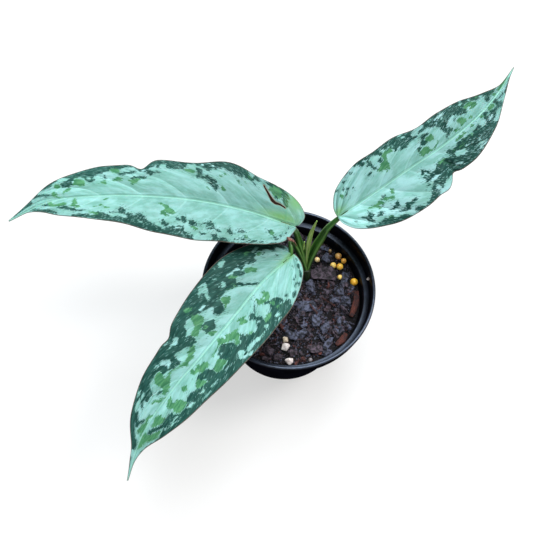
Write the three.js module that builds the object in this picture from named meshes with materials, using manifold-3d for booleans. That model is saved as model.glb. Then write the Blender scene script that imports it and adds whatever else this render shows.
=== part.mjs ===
// A young potted tricolor aglaonema: a thin black nursery pot, its soil, and a plant with three
// patterned leaves and one rolled new leaf.
// Millimetres. +Z is up, and the origin is the middle of the underside of the pot.
import * as THREE from 'three';
import { mergeVertices } from 'three/addons/utils/BufferGeometryUtils.js';
import Module from 'manifold-3d';

const wasm = await Module();
wasm.setup();

// Driving dimensions
const gap = 0.3;
const up = new THREE.Vector3(0, 0, 1);

const potSize = {
  rimRadius: 45,
  height: 62,
  footRadius: 31.2,
  wall: 1,
  floor: 1.6,
  rimBead: 0.5,
  rimDepth: 2.4,
  rimFlat: 0.8,
  rimRound: 0.6,
  bandHeight: 8.7,
  bandInset: 1,
  ledgeRadius: 39.9,
  edgeRound: 0.4,
  footRound: 0.9,
  floorRound: 1.5,
  sides: 56,
  holes: 8,
  holeRadius: 2.6,
  holeCircle: 21,
};

const soilSize = {
  top: 48,
  relief: 0.7,
  bottomRound: 2,
  shoulder: 1.5,
  stemRoom: 4,
  wallRoom: 2,
  sides: 36,
  seed: 41,
};

// The strewn chips. Width and height are shares of the length, and corners are drawn in at random.
const chipSize = {
  count: 52,
  length: [3, 7.5],
  width: [0.45, 0.8],
  height: 2.2,
  heightShare: 0.3,
  drawnIn: 0.3,
  tilt: 0.35,
  sunk: 0.12,
};

// Blades: midrib points from the stalk to the tip, and the half-widths of the left and the right
// half, seen from the stalk towards the tip, at the stations along the midrib. The veins of each
// half are their count, the share of a step before the first one and how far they lean to the tip.
const stations = [0, 0.03, 0.08, 0.16, 0.26, 0.36, 0.46, 0.56, 0.66, 0.76, 0.86, 0.93, 1];
const blade = {
  thickness: 0.75,
  keel: 1.1,
  keelHalfWidth: 0.1,
  rise: 0.45,
  droop: 0.3,
  veinBend: 1.3,
  quilt: 0.85,
  quiltLevel: 0.6,
  ruffleShift: 0.3,
  taperWidth: 8,
  tipHalfWidth: 0.4,
  baseShare: 0.16,
  tipShare: 0.7,
  rows: 38,
  columns: [-1, -0.92, -0.7, -0.45, -0.2, -0.06, 0.06, 0.2, 0.45, 0.7, 0.92, 1],
};
// How deep a stalk lies under the midrib at the blade's base, and how fast it rises into the keel.
const stalkEnd = { shares: [0.012, 0.05], depth: 1.3, rise: 10 };

const leaves = {
  left: {
    midrib: [[0.5, 20.5, 89], [-22.5, 23.5, 96], [-46, 24.5, 101.5], [-70, 23.5, 105],
      [-94, 22, 105], [-118, 20, 100.5], [-139, 12.5, 92]],
    leftHalf: [1.5, 6, 14, 19.5, 20.8, 23.5, 21.3, 16.1, 14.4, 10.8, 4.6, 0.9, 0.4],
    rightHalf: [2.5, 11, 17, 19.1, 22.1, 20.1, 19, 16, 16.1, 11.3, 6.3, 3.4, 0.4],
    veins: { left: [7, 0.65, 0.12], right: [7, 0.65, 0.25] },
    baseSweep: -65,
    tipSweep: 45,
    ruffle: { height: 1.3, waves: 3.6, phase: 0.1 },
    notches: [{ side: 1, at: 0.524, width: 0.026, depth: 3, drop: 1.2 }],
    stalk: [[9.2, 14.3, 53], [7.6, 16.6, 59], [5.8, 18, 67], [3.6, 19.1, 76], [1.7, 20, 83.5]],
    stalkRadius: [1.5, 2.1, 2.1, 1.9, 1.6, 1.4, 0.9],
  },
  front: {
    midrib: [[0.5, 7, 85], [-14, -11, 87.5], [-26.5, -30.5, 89], [-39.5, -49.5, 88],
      [-53, -67, 83], [-64.5, -84.5, 73], [-70.5, -102.5, 60]],
    leftHalf: [0.5, 5.5, 13, 19, 19.7, 19.6, 18, 16.3, 14.8, 10.3, 3.9, 0.9, 0.4],
    rightHalf: [0.5, 5.5, 13.5, 19.9, 23, 23.2, 20.5, 17, 15, 10, 3.5, 1.8, 0.4],
    veins: { left: [7, 0.5, 0.26], right: [7, 0.22, 0.28] },
    baseSweep: -60,
    tipSweep: 45,
    ruffle: { height: 1, waves: 3.2, phase: 0.35 },
    notches: [{ side: 1, at: 0.515, width: 0.026, depth: 1.3, drop: 1.5 }],
    stalk: [[8.8, 14.2, 53], [6, 15.6, 62], [2.8, 15.6, 74], [-0.1, 14.6, 83], [-1.1, 12, 86.6],
      [-0.5, 9.4, 86]],
    stalkRadius: [1.1, 1.5, 1.5, 1.4, 1.3, 1.3, 1.2, 0.9],
  },
  right: {
    midrib: [[22, 25.5, 92], [37.5, 34, 101], [53, 43, 110.5], [68.5, 52.5, 118.5],
      [83.5, 65, 124.5], [95.5, 81, 125], [105, 98.5, 124]],
    leftHalf: [0.5, 6.5, 13.5, 17.4, 17.3, 18.1, 14.8, 14.5, 12.5, 6.8, 2.2, 1, 0.4],
    rightHalf: [0.5, 5.8, 12.8, 18.6, 22, 22.1, 16.2, 15.7, 11.2, 6.6, 3, 1.3, 0.4],
    veins: { left: [8, 0.6, 0.3], right: [8.3, 0.82, 0.195] },
    baseSweep: -40,
    tipSweep: 45,
    ruffle: { height: 1, waves: 3.4, phase: 0.8 },
    notches: [
      { side: 1, at: 0.425, width: 0.03, depth: -2.6, drop: 0 },
      { side: 1, at: 0.47, width: 0.016, depth: 2.4, drop: 2 },
    ],
    stalk: [[9.8, 14.5, 53.5], [10.8, 17.2, 60], [12.8, 19.7, 68], [15.2, 21.6, 76], [18, 23.3, 85]],
    stalkRadius: [1.5, 2.1, 2.2, 2.1, 1.7, 1.3, 0.9],
  },
};

const stem = {
  path: [[9.8, 11.8, 30], [9.8, 11.8, 40], [9.8, 12.1, 48], [9.4, 13.9, 53.5]],
  radius: [2.4, 2.5, 2.1, 2],
};
const roots = {
  crown: [9.8, 11.8, 35],
  radius: [1.4, 1.2, 1, 0.7],
  // direction in degrees, reach and drop of each root
  spread: [[15, 14, 19], [105, 17, 15], [175, 24, 21], [235, 26, 17], [300, 25, 23]],
};
const spear = {
  path: [[9.3, 15, 54.5], [9, 17.2, 60], [8.8, 19.6, 67], [9.3, 21.7, 77], [10.3, 22.6, 84],
    [11.5, 23.2, 91]],
  radius: [0.8, 1.1, 1.2, 1.15, 0.8, 0.25],
};
const sheathTip = {
  path: [[6, 18, 66], [6.3, 18.3, 71], [6.5, 18.6, 76.5]],
  radius: [1, 0.8, 0.25],
};
const bract = {
  path: [[3, 17, 73], [2.3, 15, 79], [1.4, 13.2, 85], [0, 12, 90], [-2.4, 11.4, 92.8]],
  radius: [0.6, 0.5, 0.5, 0.8, 1.2],
};

// What lies on the soil: place, radius and, for grains, how flat it is. A ball's middle stands a
// share of its radius over the soil, and a grain's corners are drawn in at random.
const restHeight = 0.55;
const grainDrawnIn = 0.22;
const prills = [[22.1, 28.2, 1], [26.7, 25.3, 1.8], [29.6, 22.5, 1.5], [15.2, 22, 1.45],
  [23.9, 19.2, 1.65], [27.5, 18.7, 1.8], [27.7, 12.9, 1.35], [35.2, 10.1, 2.05]];
const grains = [[-0.2, -24.6, 1.7, 0.8], [0.4, -28.9, 2.3, 0.85], [2.6, -36.3, 2.1, 0.8]];
const bead = [13.3, -34.6, 1.1];
const bark = {
  width: 3.2,
  thickness: 1.4,
  endShare: 0.6,
  middleHeight: 0.8,
  steps: 6,
  strips: [
    [[36.7, 5], [36.2, -2], [33.8, -9.8]],
    [[31.4, -19], [29.6, -22.4], [26.3, -25.8]],
  ],
};
// The large chips: place, length, width, height and turn in degrees.
const largeChips = [[18, 14, 15, 8.5, 4, 5], [9.2, -5.1, 13, 6, 3.4, 3], [3.6, -31.9, 4, 3.4, 3, 40],
  [9.8, -34.3, 2.8, 2.8, 2.6, 10], [22, -13, 9, 6, 3.6, 60], [-14, -17, 10, 7, 3.4, 120]];

const materials = {
  pot: new THREE.MeshStandardMaterial({ color: 0x17181c, roughness: 0.35 }),
  soil: new THREE.MeshStandardMaterial({ color: 0x2a2325, roughness: 0.95 }),
  bark: new THREE.MeshStandardMaterial({ color: 0x5a2a24, roughness: 0.9 }),
  leaf: new THREE.MeshStandardMaterial({ color: 0x8fd0bb, roughness: 0.45 }),
  stem: new THREE.MeshStandardMaterial({ color: 0x3f6a22, roughness: 0.45 }),
  spear: new THREE.MeshStandardMaterial({ color: 0x8fa646, roughness: 0.45 }),
  bract: new THREE.MeshStandardMaterial({ color: 0xb08070, roughness: 0.8 }),
  pumice: new THREE.MeshStandardMaterial({ color: 0xc9bcb4, roughness: 0.9 }),
  bead: new THREE.MeshStandardMaterial({ color: 0x77716f, roughness: 0.7 }),
  prill: new THREE.MeshStandardMaterial({ color: 0xe0b050, roughness: 0.4 }),
};

// A smooth curve of numbers through values at uneven stations.
function through(places, values, at) {
  const last = places.length - 1;
  let i = 0;
  while (i < last - 1 && at > places[i + 1]) i += 1;
  const slope = (k) => {
    const a = Math.max(k - 1, 0);
    const b = Math.min(k + 1, last);
    return (values[b] - values[a]) / (places[b] - places[a]);
  };
  const step = places[i + 1] - places[i];
  const t = (at - places[i]) / step;
  const rise = values[i + 1] - values[i];
  const start = slope(i) * step;
  const end = slope(i + 1) * step;
  return values[i] + t * (start + t * (3 * rise - 2 * start - end + t * (start + end - 2 * rise)));
}

function evenly(values, at) {
  const places = values.map((_, i) => i / (values.length - 1));
  return through(places, values, at);
}

function curveThrough(points) {
  return new THREE.CatmullRomCurve3(points.map((p) => new THREE.Vector3(...p)), false, 'catmullrom', 0.5);
}

// Seeded numbers from 0 to 1.
function randomFrom(seed) {
  let state = seed;
  return () => {
    state = (Math.imul(state, 1664525) + 1013904223) >>> 0;
    return state / 4294967296;
  };
}

// Closed geometry to a solid: shared corners are merged and collapsed triangles are dropped.
function solid(geometry) {
  geometry.deleteAttribute('normal');
  geometry.deleteAttribute('uv');
  const merged = mergeVertices(geometry, 1e-4);
  const index = merged.index.array;
  const kept = [];
  for (let i = 0; i < index.length; i += 3) {
    const [a, b, c] = [index[i], index[i + 1], index[i + 2]];
    if (a !== b && b !== c && c !== a) kept.push(a, b, c);
  }
  return new wasm.Manifold(new wasm.Mesh({
    numProp: 3,
    vertProperties: new Float32Array(merged.attributes.position.array),
    triVerts: new Uint32Array(kept),
  }));
}

function fromTriangles(points, index) {
  const geometry = new THREE.BufferGeometry();
  geometry.setAttribute('position', new THREE.Float32BufferAttribute(points.flatMap((p) => p.toArray()), 3));
  geometry.setIndex(index);
  return geometry;
}

// The main piece of a cut solid, without the scraps that a cut can leave.
function mainPiece(cut) {
  return cut.decompose().reduce((best, piece) => (piece.volume() > best.volume() ? piece : best));
}

const object = new THREE.Group();

function add(name, shape, material) {
  const { vertProperties, triVerts } = shape.getMesh();
  const geometry = new THREE.BufferGeometry();
  geometry.setAttribute('position', new THREE.BufferAttribute(new Float32Array(vertProperties), 3));
  geometry.setIndex(new THREE.BufferAttribute(new Uint32Array(triVerts), 1));
  geometry.computeVertexNormals();
  const mesh = new THREE.Mesh(geometry, material.clone());
  mesh.name = name;
  object.add(mesh);
}

// Rings of equal count joined by walls, with a fan over each end.
function loft(rings) {
  const count = rings[0].length;
  const points = rings.flat();
  const index = [];
  for (let i = 0; i < rings.length - 1; i += 1) {
    for (let j = 0; j < count; j += 1) {
      const a = i * count + j;
      const b = i * count + ((j + 1) % count);
      index.push(a, b, b + count, a, b + count, a + count);
    }
  }
  for (const [ring, first] of [[rings[0], 0], [rings.at(-1), (rings.length - 1) * count]]) {
    const middle = ring.reduce((sum, p) => sum.add(p), new THREE.Vector3()).divideScalar(count);
    const hub = points.push(middle) - 1;
    for (let j = 0; j < count; j += 1) {
      const next = first + ((j + 1) % count);
      index.push(...(first === 0 ? [hub, next, first + j] : [hub, first + j, next]));
    }
  }
  return fromTriangles(points, index);
}

// A round rod of changing radius along a curve. grow makes it larger all round, for clearance.
function rod(path, radii, steps, sides, grow = 0) {
  const curve = curveThrough(path);
  const frames = curve.computeFrenetFrames(steps);
  const rings = [];
  for (let i = 0; i <= steps; i += 1) {
    const centre = curve.getPointAt(i / steps);
    if (i === 0) centre.addScaledVector(frames.tangents[i], -grow);
    if (i === steps) centre.addScaledVector(frames.tangents[i], grow);
    const radius = evenly(radii, i / steps) + grow;
    rings.push(Array.from({ length: sides }, (_, j) => {
      const angle = (2 * Math.PI * j) / sides;
      return centre.clone()
        .addScaledVector(frames.normals[i], radius * Math.cos(angle))
        .addScaledVector(frames.binormals[i], radius * Math.sin(angle));
    }));
  }
  return solid(loft(rings));
}

function turned(profile, sides) {
  const points = profile.map(([r, z]) => new THREE.Vector2(r, z));
  return new THREE.LatheGeometry(points, sides).rotateX(Math.PI / 2);
}

// Pot
function innerRadius(z) {
  const ledgeHeight = potSize.height - potSize.bandHeight;
  const low = potSize.footRadius - potSize.wall;
  return low + ((potSize.ledgeRadius - low) * (z - potSize.floor)) / (ledgeHeight - potSize.floor);
}

function makePot() {
  const { rimRadius, height, footRadius, wall, floor, rimBead, bandHeight, ledgeRadius } = potSize;
  const { rimDepth, rimFlat, rimRound, edgeRound, footRound, floorRound } = potSize;
  const ledge = height - bandHeight;
  const bandInside = rimRadius - wall - potSize.bandInset;
  const rimInside = rimRadius - rimBead - rimFlat;
  const body = turned([
    [0, 0],
    [footRadius - footRound, 0],
    [footRadius, footRound],
    [ledgeRadius + wall - edgeRound, ledge - wall - 2 * edgeRound],
    [ledgeRadius + wall + edgeRound, ledge - wall],
    [bandInside + wall, ledge - wall + edgeRound],
    [rimRadius - rimBead, height - rimDepth],
    [rimRadius, height - rimDepth + rimBead],
    [rimRadius, height - rimRound],
    [rimRadius - rimBead, height],
    [rimInside, height],
    [rimInside - edgeRound, height - rimRound],
    [bandInside, ledge + edgeRound],
    [bandInside - edgeRound, ledge],
    [ledgeRadius + edgeRound / 2, ledge],
    [ledgeRadius, ledge - edgeRound],
    [innerRadius(floor + floorRound), floor + floorRound],
    [innerRadius(floor) - floorRound, floor],
    [0, floor],
  ], potSize.sides);
  let pot = solid(body);
  for (let i = 0; i < potSize.holes; i += 1) {
    const angle = (2 * Math.PI * (i + 0.5)) / potSize.holes;
    const drill = new THREE.CylinderGeometry(potSize.holeRadius, potSize.holeRadius, 4 * floor, 14);
    drill.rotateX(Math.PI / 2);
    drill.translate(potSize.holeCircle * Math.cos(angle), potSize.holeCircle * Math.sin(angle), 0);
    pot = pot.subtract(solid(drill));
  }
  return pot;
}

// Soil
function soilHeight(x, y) {
  const lumps = Math.sin(x / 5 + 1) * Math.cos(y / 6) + 0.6 * Math.sin(x / 3.1 - y / 2.7);
  return soilSize.top + soilSize.relief * lumps;
}

// A rough chip: a box whose corners are drawn in or out.
function chip([x, y, length, width, height, turn], random) {
  const shape = new THREE.BoxGeometry(length, width, height);
  const merged = mergeVertices(shape.deleteAttribute('normal').deleteAttribute('uv'));
  const place = merged.attributes.position;
  for (let i = 0; i < place.count; i += 1) {
    const scale = [0, 1, 2].map(() => 1 - chipSize.drawnIn * random());
    place.setXYZ(i, place.getX(i) * scale[0], place.getY(i) * scale[1], place.getZ(i) * scale[2]);
  }
  merged.rotateX((2 * random() - 1) * chipSize.tilt);
  merged.rotateY((2 * random() - 1) * chipSize.tilt);
  merged.rotateZ(THREE.MathUtils.degToRad(turn));
  merged.translate(x, y, soilHeight(x, y) - height * chipSize.sunk);
  return solid(merged);
}

function looseGrain([x, y, radius, flatness], grow, random) {
  const shape = new THREE.IcosahedronGeometry(radius, 1);
  const merged = mergeVertices(shape.deleteAttribute('normal').deleteAttribute('uv'));
  const place = merged.attributes.position;
  const drawnIn = flatness < 1 ? grainDrawnIn : 0;
  for (let i = 0; i < place.count; i += 1) {
    const scale = 1 - drawnIn * random() + grow / radius;
    place.setXYZ(i, place.getX(i) * scale, place.getY(i) * scale, place.getZ(i) * scale * flatness);
  }
  merged.translate(x, y, soilHeight(x, y) + radius * restHeight);
  return solid(merged);
}

function barkStrip(strip, grow) {
  const { steps, endShare, middleHeight } = bark;
  const curve = curveThrough(strip.map(([x, y]) => [x, y, soilHeight(x, y) + middleHeight]));
  const rings = [];
  for (let i = 0; i <= steps; i += 1) {
    const centre = curve.getPointAt(i / steps);
    const along = curve.getTangentAt(i / steps);
    if (i === 0) centre.addScaledVector(along, -grow);
    if (i === steps) centre.addScaledVector(along, grow);
    const across = along.clone().cross(up).normalize();
    const taper = endShare + (1 - endShare) * Math.sin((Math.PI * i) / steps);
    const wide = (bark.width * taper) / 2 + grow;
    const high = (bark.thickness * taper) / 2 + grow;
    rings.push([[-1, -1], [-1, 1], [1, 1], [1, -1]].map(([side, level]) => centre.clone()
      .addScaledVector(across, side * wide)
      .addScaledVector(up, level * high)));
  }
  return solid(loft(rings));
}

function makeSoil(cutters) {
  const { top, bottomRound, shoulder } = soilSize;
  const bottom = potSize.floor + gap;
  const edge = innerRadius(top) - gap;
  const rings = [0.93, 0.72, 0.5, 0.27];
  const body = turned([
    [0, bottom],
    [innerRadius(bottom) - gap - bottomRound, bottom],
    [innerRadius(bottom + bottomRound) - gap, bottom + bottomRound],
    [edge, top - shoulder],
    ...rings.map((share) => [edge * share, top]),
    [0, top],
  ], soilSize.sides);
  const place = body.attributes.position;
  for (let i = 0; i < place.count; i += 1) {
    const [x, y, z] = [place.getX(i), place.getY(i), place.getZ(i)];
    if (z > top - shoulder / 2) place.setZ(i, soilHeight(x, y));
  }
  let soil = solid(body);
  const random = randomFrom(soilSize.seed);
  for (const large of largeChips) soil = soil.add(chip(large, random));
  const [stemX, stemY] = stem.path[2];
  const occupied = [...prills, ...grains, bead, [stemX, stemY, soilSize.stemRoom]];
  const [shortest, longest] = chipSize.length;
  const [narrow, wide] = chipSize.width;
  const reach = edge - soilSize.wallRoom;
  let laid = 0;
  while (laid < chipSize.count) {
    const radius = reach * Math.sqrt(random());
    const angle = 2 * Math.PI * random();
    const [x, y] = [radius * Math.cos(angle), radius * Math.sin(angle)];
    const length = shortest + (longest - shortest) * random() ** 2;
    const width = length * (narrow + (wide - narrow) * random());
    const height = chipSize.height + chipSize.heightShare * width;
    const turn = 360 * random();
    const free = occupied.every(([px, py, r]) => Math.hypot(x - px, y - py) > r + length / 2);
    if (free) {
      soil = soil.add(chip([x, y, length, width, height, turn], random));
      laid += 1;
    }
  }
  // no chip comes nearer to the pot's wall than the gap
  const room = solid(turned([
    [0, bottom],
    [innerRadius(bottom) - gap, bottom],
    [innerRadius(top + shoulder) - gap, top + shoulder],
    [edge - 1, top + 4 * shoulder],
    [0, top + 4 * shoulder],
  ], soilSize.sides));
  soil = soil.intersect(room);
  for (const cutter of cutters) soil = soil.subtract(cutter);
  return mainPiece(soil);
}

// Plant
function stemShape(grow) {
  let shape = rod(stem.path, stem.radius, 6, 10, grow);
  const [x, y, z] = roots.crown;
  for (const [direction, reach, drop] of roots.spread) {
    const angle = THREE.MathUtils.degToRad(direction);
    const path = [[0, 0], [0.35, 0.3], [0.7, 0.62], [1, 1]].map(([out, down]) => [
      x + out * reach * Math.cos(angle),
      y + out * reach * Math.sin(angle),
      z - down * drop,
    ]);
    shape = shape.add(rod(path, roots.radius, 6, 6, grow));
  }
  return shape;
}

function bladeFrame(midrib, u) {
  const along = midrib.getTangent(u);
  const right = along.clone().cross(up).normalize();
  const normal = right.clone().cross(along);
  return { place: midrib.getPoint(u), along, right, normal };
}

function halfWidth(leaf, u, side) {
  let width = through(stations, side < 0 ? leaf.leftHalf : leaf.rightHalf, u);
  for (const notch of leaf.notches) {
    if (notch.side === side) width -= notch.depth * Math.exp(-(((u - notch.at) / notch.width) ** 2));
  }
  return Math.max(width, blade.tipHalfWidth);
}

// How far the edge is turned back at the base and forward at the tip, in radians.
function sweep(leaf, u) {
  const atBase = leaf.baseSweep * Math.max(1 - u / blade.baseShare, 0) ** 1.5;
  const atTip = leaf.tipSweep * Math.max(1 - (1 - u) / blade.tipShare, 0) ** 2;
  return THREE.MathUtils.degToRad(atBase + atTip);
}

// Height over the midrib: a shallow gull's wing, the quilting between the veins and a ruffled edge.
function lift(leaf, u, v, width) {
  const out = Math.abs(v);
  const side = Math.sign(v);
  const wing = width * out * (blade.rise - blade.droop * out);
  const [veins, first, lean] = side < 0 ? leaf.veins.left : leaf.veins.right;
  const vein = veins * (u - lean * out ** blade.veinBend) - first;
  const pillow = Math.abs(Math.sin(Math.PI * vein)) - blade.quiltLevel;
  const quilt = blade.quilt * pillow * Math.sin(Math.PI * Math.min(out, 1)) ** 0.7;
  const { height, waves, phase } = leaf.ruffle;
  const ends = Math.min(1, (width - blade.tipHalfWidth) / blade.taperWidth);
  const ruffle = height * out ** 2 * Math.sin(2 * Math.PI * (waves * u + phase + blade.ruffleShift * side));
  let level = wing + ends * (quilt + ruffle);
  for (const notch of leaf.notches) {
    if (notch.side === side) level -= notch.drop * out ** 2 * Math.exp(-(((u - notch.at) / notch.width) ** 2));
  }
  return level;
}

function makeBlade(leaf) {
  const midrib = curveThrough(leaf.midrib);
  const { rows, columns, thickness, keel, keelHalfWidth } = blade;
  const tops = [];
  const bottoms = [];
  for (let i = 0; i <= rows; i += 1) {
    const even = i / rows;
    const u = 0.65 * even + 0.35 * (0.5 - 0.5 * Math.cos(Math.PI * even));
    const { place, along, right, normal } = bladeFrame(midrib, u);
    const angle = sweep(leaf, u);
    for (const v of columns) {
      const width = halfWidth(leaf, u, Math.sign(v));
      const point = place.clone()
        .addScaledVector(right, width * v * Math.cos(angle))
        .addScaledVector(along, width * Math.abs(v) * Math.sin(angle))
        .addScaledVector(normal, lift(leaf, u, v, width));
      const depth = thickness + keel * (1 - u) * Math.exp(-((v / keelHalfWidth) ** 2));
      tops.push(point);
      bottoms.push(point.clone().addScaledVector(normal, -depth));
    }
  }
  const count = columns.length;
  const under = tops.length;
  const index = [];
  for (let i = 0; i < rows; i += 1) {
    for (let j = 0; j < count - 1; j += 1) {
      const a = i * count + j;
      const [b, c, d] = [a + count, a + count + 1, a + 1];
      index.push(a, d, b, d, c, b);
      index.push(a + under, b + under, d + under, d + under, b + under, c + under);
    }
  }
  const loop = [];
  for (let j = 0; j < count - 1; j += 1) loop.push(j);
  for (let i = 0; i < rows; i += 1) loop.push(i * count + count - 1);
  for (let j = count - 1; j > 0; j -= 1) loop.push(rows * count + j);
  for (let i = rows; i > 0; i -= 1) loop.push(i * count);
  loop.forEach((from, k) => {
    const to = loop[(k + 1) % loop.length];
    index.push(to, from, from + under, to, from + under, to + under);
  });
  return solid(fromTriangles([...tops, ...bottoms], index));
}

// The stalk runs on below the blade's base, into the keel.
function makeStalk(leaf, grow) {
  const midrib = curveThrough(leaf.midrib);
  const ends = stalkEnd.shares.map((u) => {
    const { place, normal } = bladeFrame(midrib, u);
    return place.addScaledVector(normal, stalkEnd.rise * u - stalkEnd.depth).toArray();
  });
  return rod([...leaf.stalk, ...ends], leaf.stalkRadius, 14, 9, grow);
}

const tip = (grow) => rod(sheathTip.path, sheathTip.radius, 4, 8, grow);
const grown = {
  stem: stemShape(gap),
  spear: rod(spear.path, spear.radius, 12, 8, gap),
  right: makeStalk(leaves.right, gap),
  left: makeStalk(leaves.left, gap).add(tip(gap)),
  front: makeStalk(leaves.front, gap),
};

function clearOf(shape, ...others) {
  return mainPiece(others.reduce((left, other) => left.subtract(other), shape));
}

add('pot', makePot(), materials.pot);

const random = randomFrom(soilSize.seed + 1);
const onSoil = [];
function layOnSoil(name, make, material) {
  const draw = random();
  add(name, make(0, randomFrom(draw * 1e6)), material);
  onSoil.push(make(gap, randomFrom(draw * 1e6)));
}
prills.forEach((prill, i) => {
  layOnSoil(`fertilizer_prill_${i + 1}`, (grow, draw) => looseGrain([...prill, 1], grow, draw), materials.prill);
});
grains.forEach((grain, i) => {
  layOnSoil(`pumice_grain_${i + 1}`, (grow, draw) => looseGrain(grain, grow, draw), materials.pumice);
});
layOnSoil('clay_bead', (grow, draw) => looseGrain([...bead, 1], grow, draw), materials.bead);
bark.strips.forEach((strip, i) => {
  layOnSoil(`bark_strip_${i + 1}`, (grow) => barkStrip(strip, grow), materials.bark);
});

add('soil', makeSoil([grown.stem, ...onSoil]), materials.soil);
add('stem', stemShape(0), materials.stem);
add('spear', clearOf(rod(spear.path, spear.radius, 12, 8), grown.stem), materials.spear);
add('leaf_right', clearOf(makeBlade(leaves.right).add(makeStalk(leaves.right, 0)), grown.stem, grown.spear),
  materials.leaf);
add('leaf_left', clearOf(makeBlade(leaves.left).add(makeStalk(leaves.left, 0)).add(tip(0)),
  grown.stem, grown.spear, grown.right), materials.leaf);
add('leaf_front', clearOf(makeBlade(leaves.front).add(makeStalk(leaves.front, 0)),
  grown.stem, grown.spear, grown.right, grown.left), materials.leaf);
add('bract', clearOf(rod(bract.path, bract.radius, 8, 6), grown.stem, grown.spear, grown.right,
  grown.left, grown.front), materials.bract);

export default object;
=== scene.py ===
import math

import bmesh
import bpy
import numpy as np
from mathutils import Matrix, Vector


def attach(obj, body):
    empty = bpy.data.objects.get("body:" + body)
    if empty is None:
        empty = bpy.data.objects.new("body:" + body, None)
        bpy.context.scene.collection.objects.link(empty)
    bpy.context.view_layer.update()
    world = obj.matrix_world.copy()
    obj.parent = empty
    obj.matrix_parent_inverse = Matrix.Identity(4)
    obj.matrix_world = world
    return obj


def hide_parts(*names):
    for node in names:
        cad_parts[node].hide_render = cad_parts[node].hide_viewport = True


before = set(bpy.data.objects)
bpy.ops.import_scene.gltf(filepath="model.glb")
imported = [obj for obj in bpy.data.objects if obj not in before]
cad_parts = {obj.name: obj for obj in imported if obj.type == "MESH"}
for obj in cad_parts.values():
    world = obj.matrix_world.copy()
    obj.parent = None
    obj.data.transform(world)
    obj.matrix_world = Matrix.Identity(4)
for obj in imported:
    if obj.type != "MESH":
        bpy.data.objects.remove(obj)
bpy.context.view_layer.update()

# A young potted tricolor aglaonema. Lengths below are millimetres and become metres in the meshes.
MM = 0.001
BODY = "root"
scene = bpy.context.scene

# Camera and studio

VIEW_PLACE = (-12.05, -167.25, 439.51)
VIEW_TILT = 25.18
VIEW_ROLL = 3.4
VIEW_LENS = 54.03

FLOOR_SIZE = 4000.0
SKY_COLOUR = (0.93, 0.97, 1.0, 1)
SKY_STRENGTH = 0.3
# soft panel lights, each with its name, place, size, power in watts and colour
PANELS = [
    ("side panel", (1500, 400, 2300), 800, 40.0, (1.0, 0.97, 0.94)),
    ("top panel", (150, 150, 2700), 1300, 60.0, (0.93, 0.97, 1.0)),
    ("back panel", (200, 1700, 2600), 1500, 85.0, (0.86, 0.94, 1.0)),
]
# the place that the panels face
PANEL_AIM = (0, 0, 80)

# Pot and soil

POT = {
    "rim": 45.0,
    "height": 62.0,
    "foot": 31.2,
    "wall": 1.0,
    "floor": 1.6,
    "bead": 0.5,
    "band": 8.7,
    "ledge": 39.9,
    "sides": 192,
    "holes": 8,
    "hole": 2.6,
    "hole_circle": 21.0,
}
SOIL_TOP = 48.0
SOIL_RELIEF = 0.7

# place x, y, length, width, height, turn in degrees, tone from 0 (charcoal) to 1 (red bark)
LARGE_CHIPS = [
    (18.2, 13.9, 15.0, 9.0, 4.2, 5, 0.42),
    (30.4, 12.7, 10.5, 5.2, 3.6, 78, 0.12),
    (27.3, 4.7, 6.2, 5.0, 3.4, 20, 0.16),
    (12.4, 6.0, 8.0, 6.0, 3.6, -50, 0.32),
    (9.4, -5.4, 13.5, 6.2, 3.4, 3, 0.05),
    (31.2, -0.6, 6.0, 5.6, 3.2, 0, 0.2),
    (15.1, 26.2, 5.0, 4.2, 3.0, 30, 0.45),
    (18.3, 30.0, 7.6, 4.0, 3.0, -18, 0.1),
    (20.4, 23.6, 6.0, 5.0, 3.0, 60, 0.25),
    (15.5, -12.6, 9.0, 5.0, 3.4, 100, 0.18),
    (20.7, -16.4, 8.5, 4.6, 3.2, 60, 0.1),
    (3.2, -22.0, 9.0, 5.0, 3.2, -20, 0.14),
    (8.6, -20.5, 6.5, 4.4, 3.0, 35, 0.1),
    (22.1, -25.0, 9.5, 3.6, 3.2, 58, 0.12),
    (15.9, -28.7, 8.5, 5.2, 3.6, 20, 0.5),
    (-2.0, -17.6, 7.5, 2.0, 2.2, -45, 0.95),
    (3.6, -31.8, 4.1, 3.6, 3.2, 40, 0.72),
    (9.4, -35.0, 3.0, 2.8, 2.6, 10, 0.98),
    (6.3, -36.8, 4.6, 1.4, 1.8, 62, 0.9),
    (30.6, -5.8, 8.5, 2.6, 2.4, -48, 0.62),
    (25.2, -1.2, 5.6, 3.2, 2.8, 10, 0.2),
    (-8.9, -31.2, 7.5, 4.2, 3.0, -30, 0.4),
    (-3.6, -34.2, 5.4, 3.4, 2.8, 25, 0.5),
    (22.0, -30.4, 5.0, 3.0, 2.6, 15, 0.15),
    (27.4, -13.2, 7.5, 3.0, 2.8, 82, 0.08),
    (32.0, -14.6, 6.4, 3.0, 2.6, -52, 0.3),
    (-14.0, -17.0, 10.0, 7.0, 3.4, 120, 0.25),
    (-22.0, 6.0, 11.0, 6.0, 3.6, 25, 0.15),
    (-11.0, 24.0, 12.0, 6.5, 3.6, -30, 0.4),
    (-28.0, -9.0, 9.0, 5.0, 3.2, 70, 0.6),
]
# place x, y, length, width, turn and tone of the thin splinters that lie on the chips
SPLINTERS = [
    (11.8, -1.9, 4.6, 1.0, 12, 0.82),
    (16.6, -2.9, 5.4, 1.2, -18, 0.7),
    (21.4, -2.6, 9.0, 1.0, -26, 0.9),
    (14.0, -7.5, 7.0, 0.9, -50, 0.85),
    (24.8, -20.2, 7.5, 0.9, -52, 0.6),
    (12.2, -38.0, 4.0, 1.0, 20, 0.95),
    (-0.5, -13.5, 5.0, 0.9, 70, 0.85),
    (26.0, -8.6, 5.5, 0.8, 64, 0.8),
]
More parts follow.
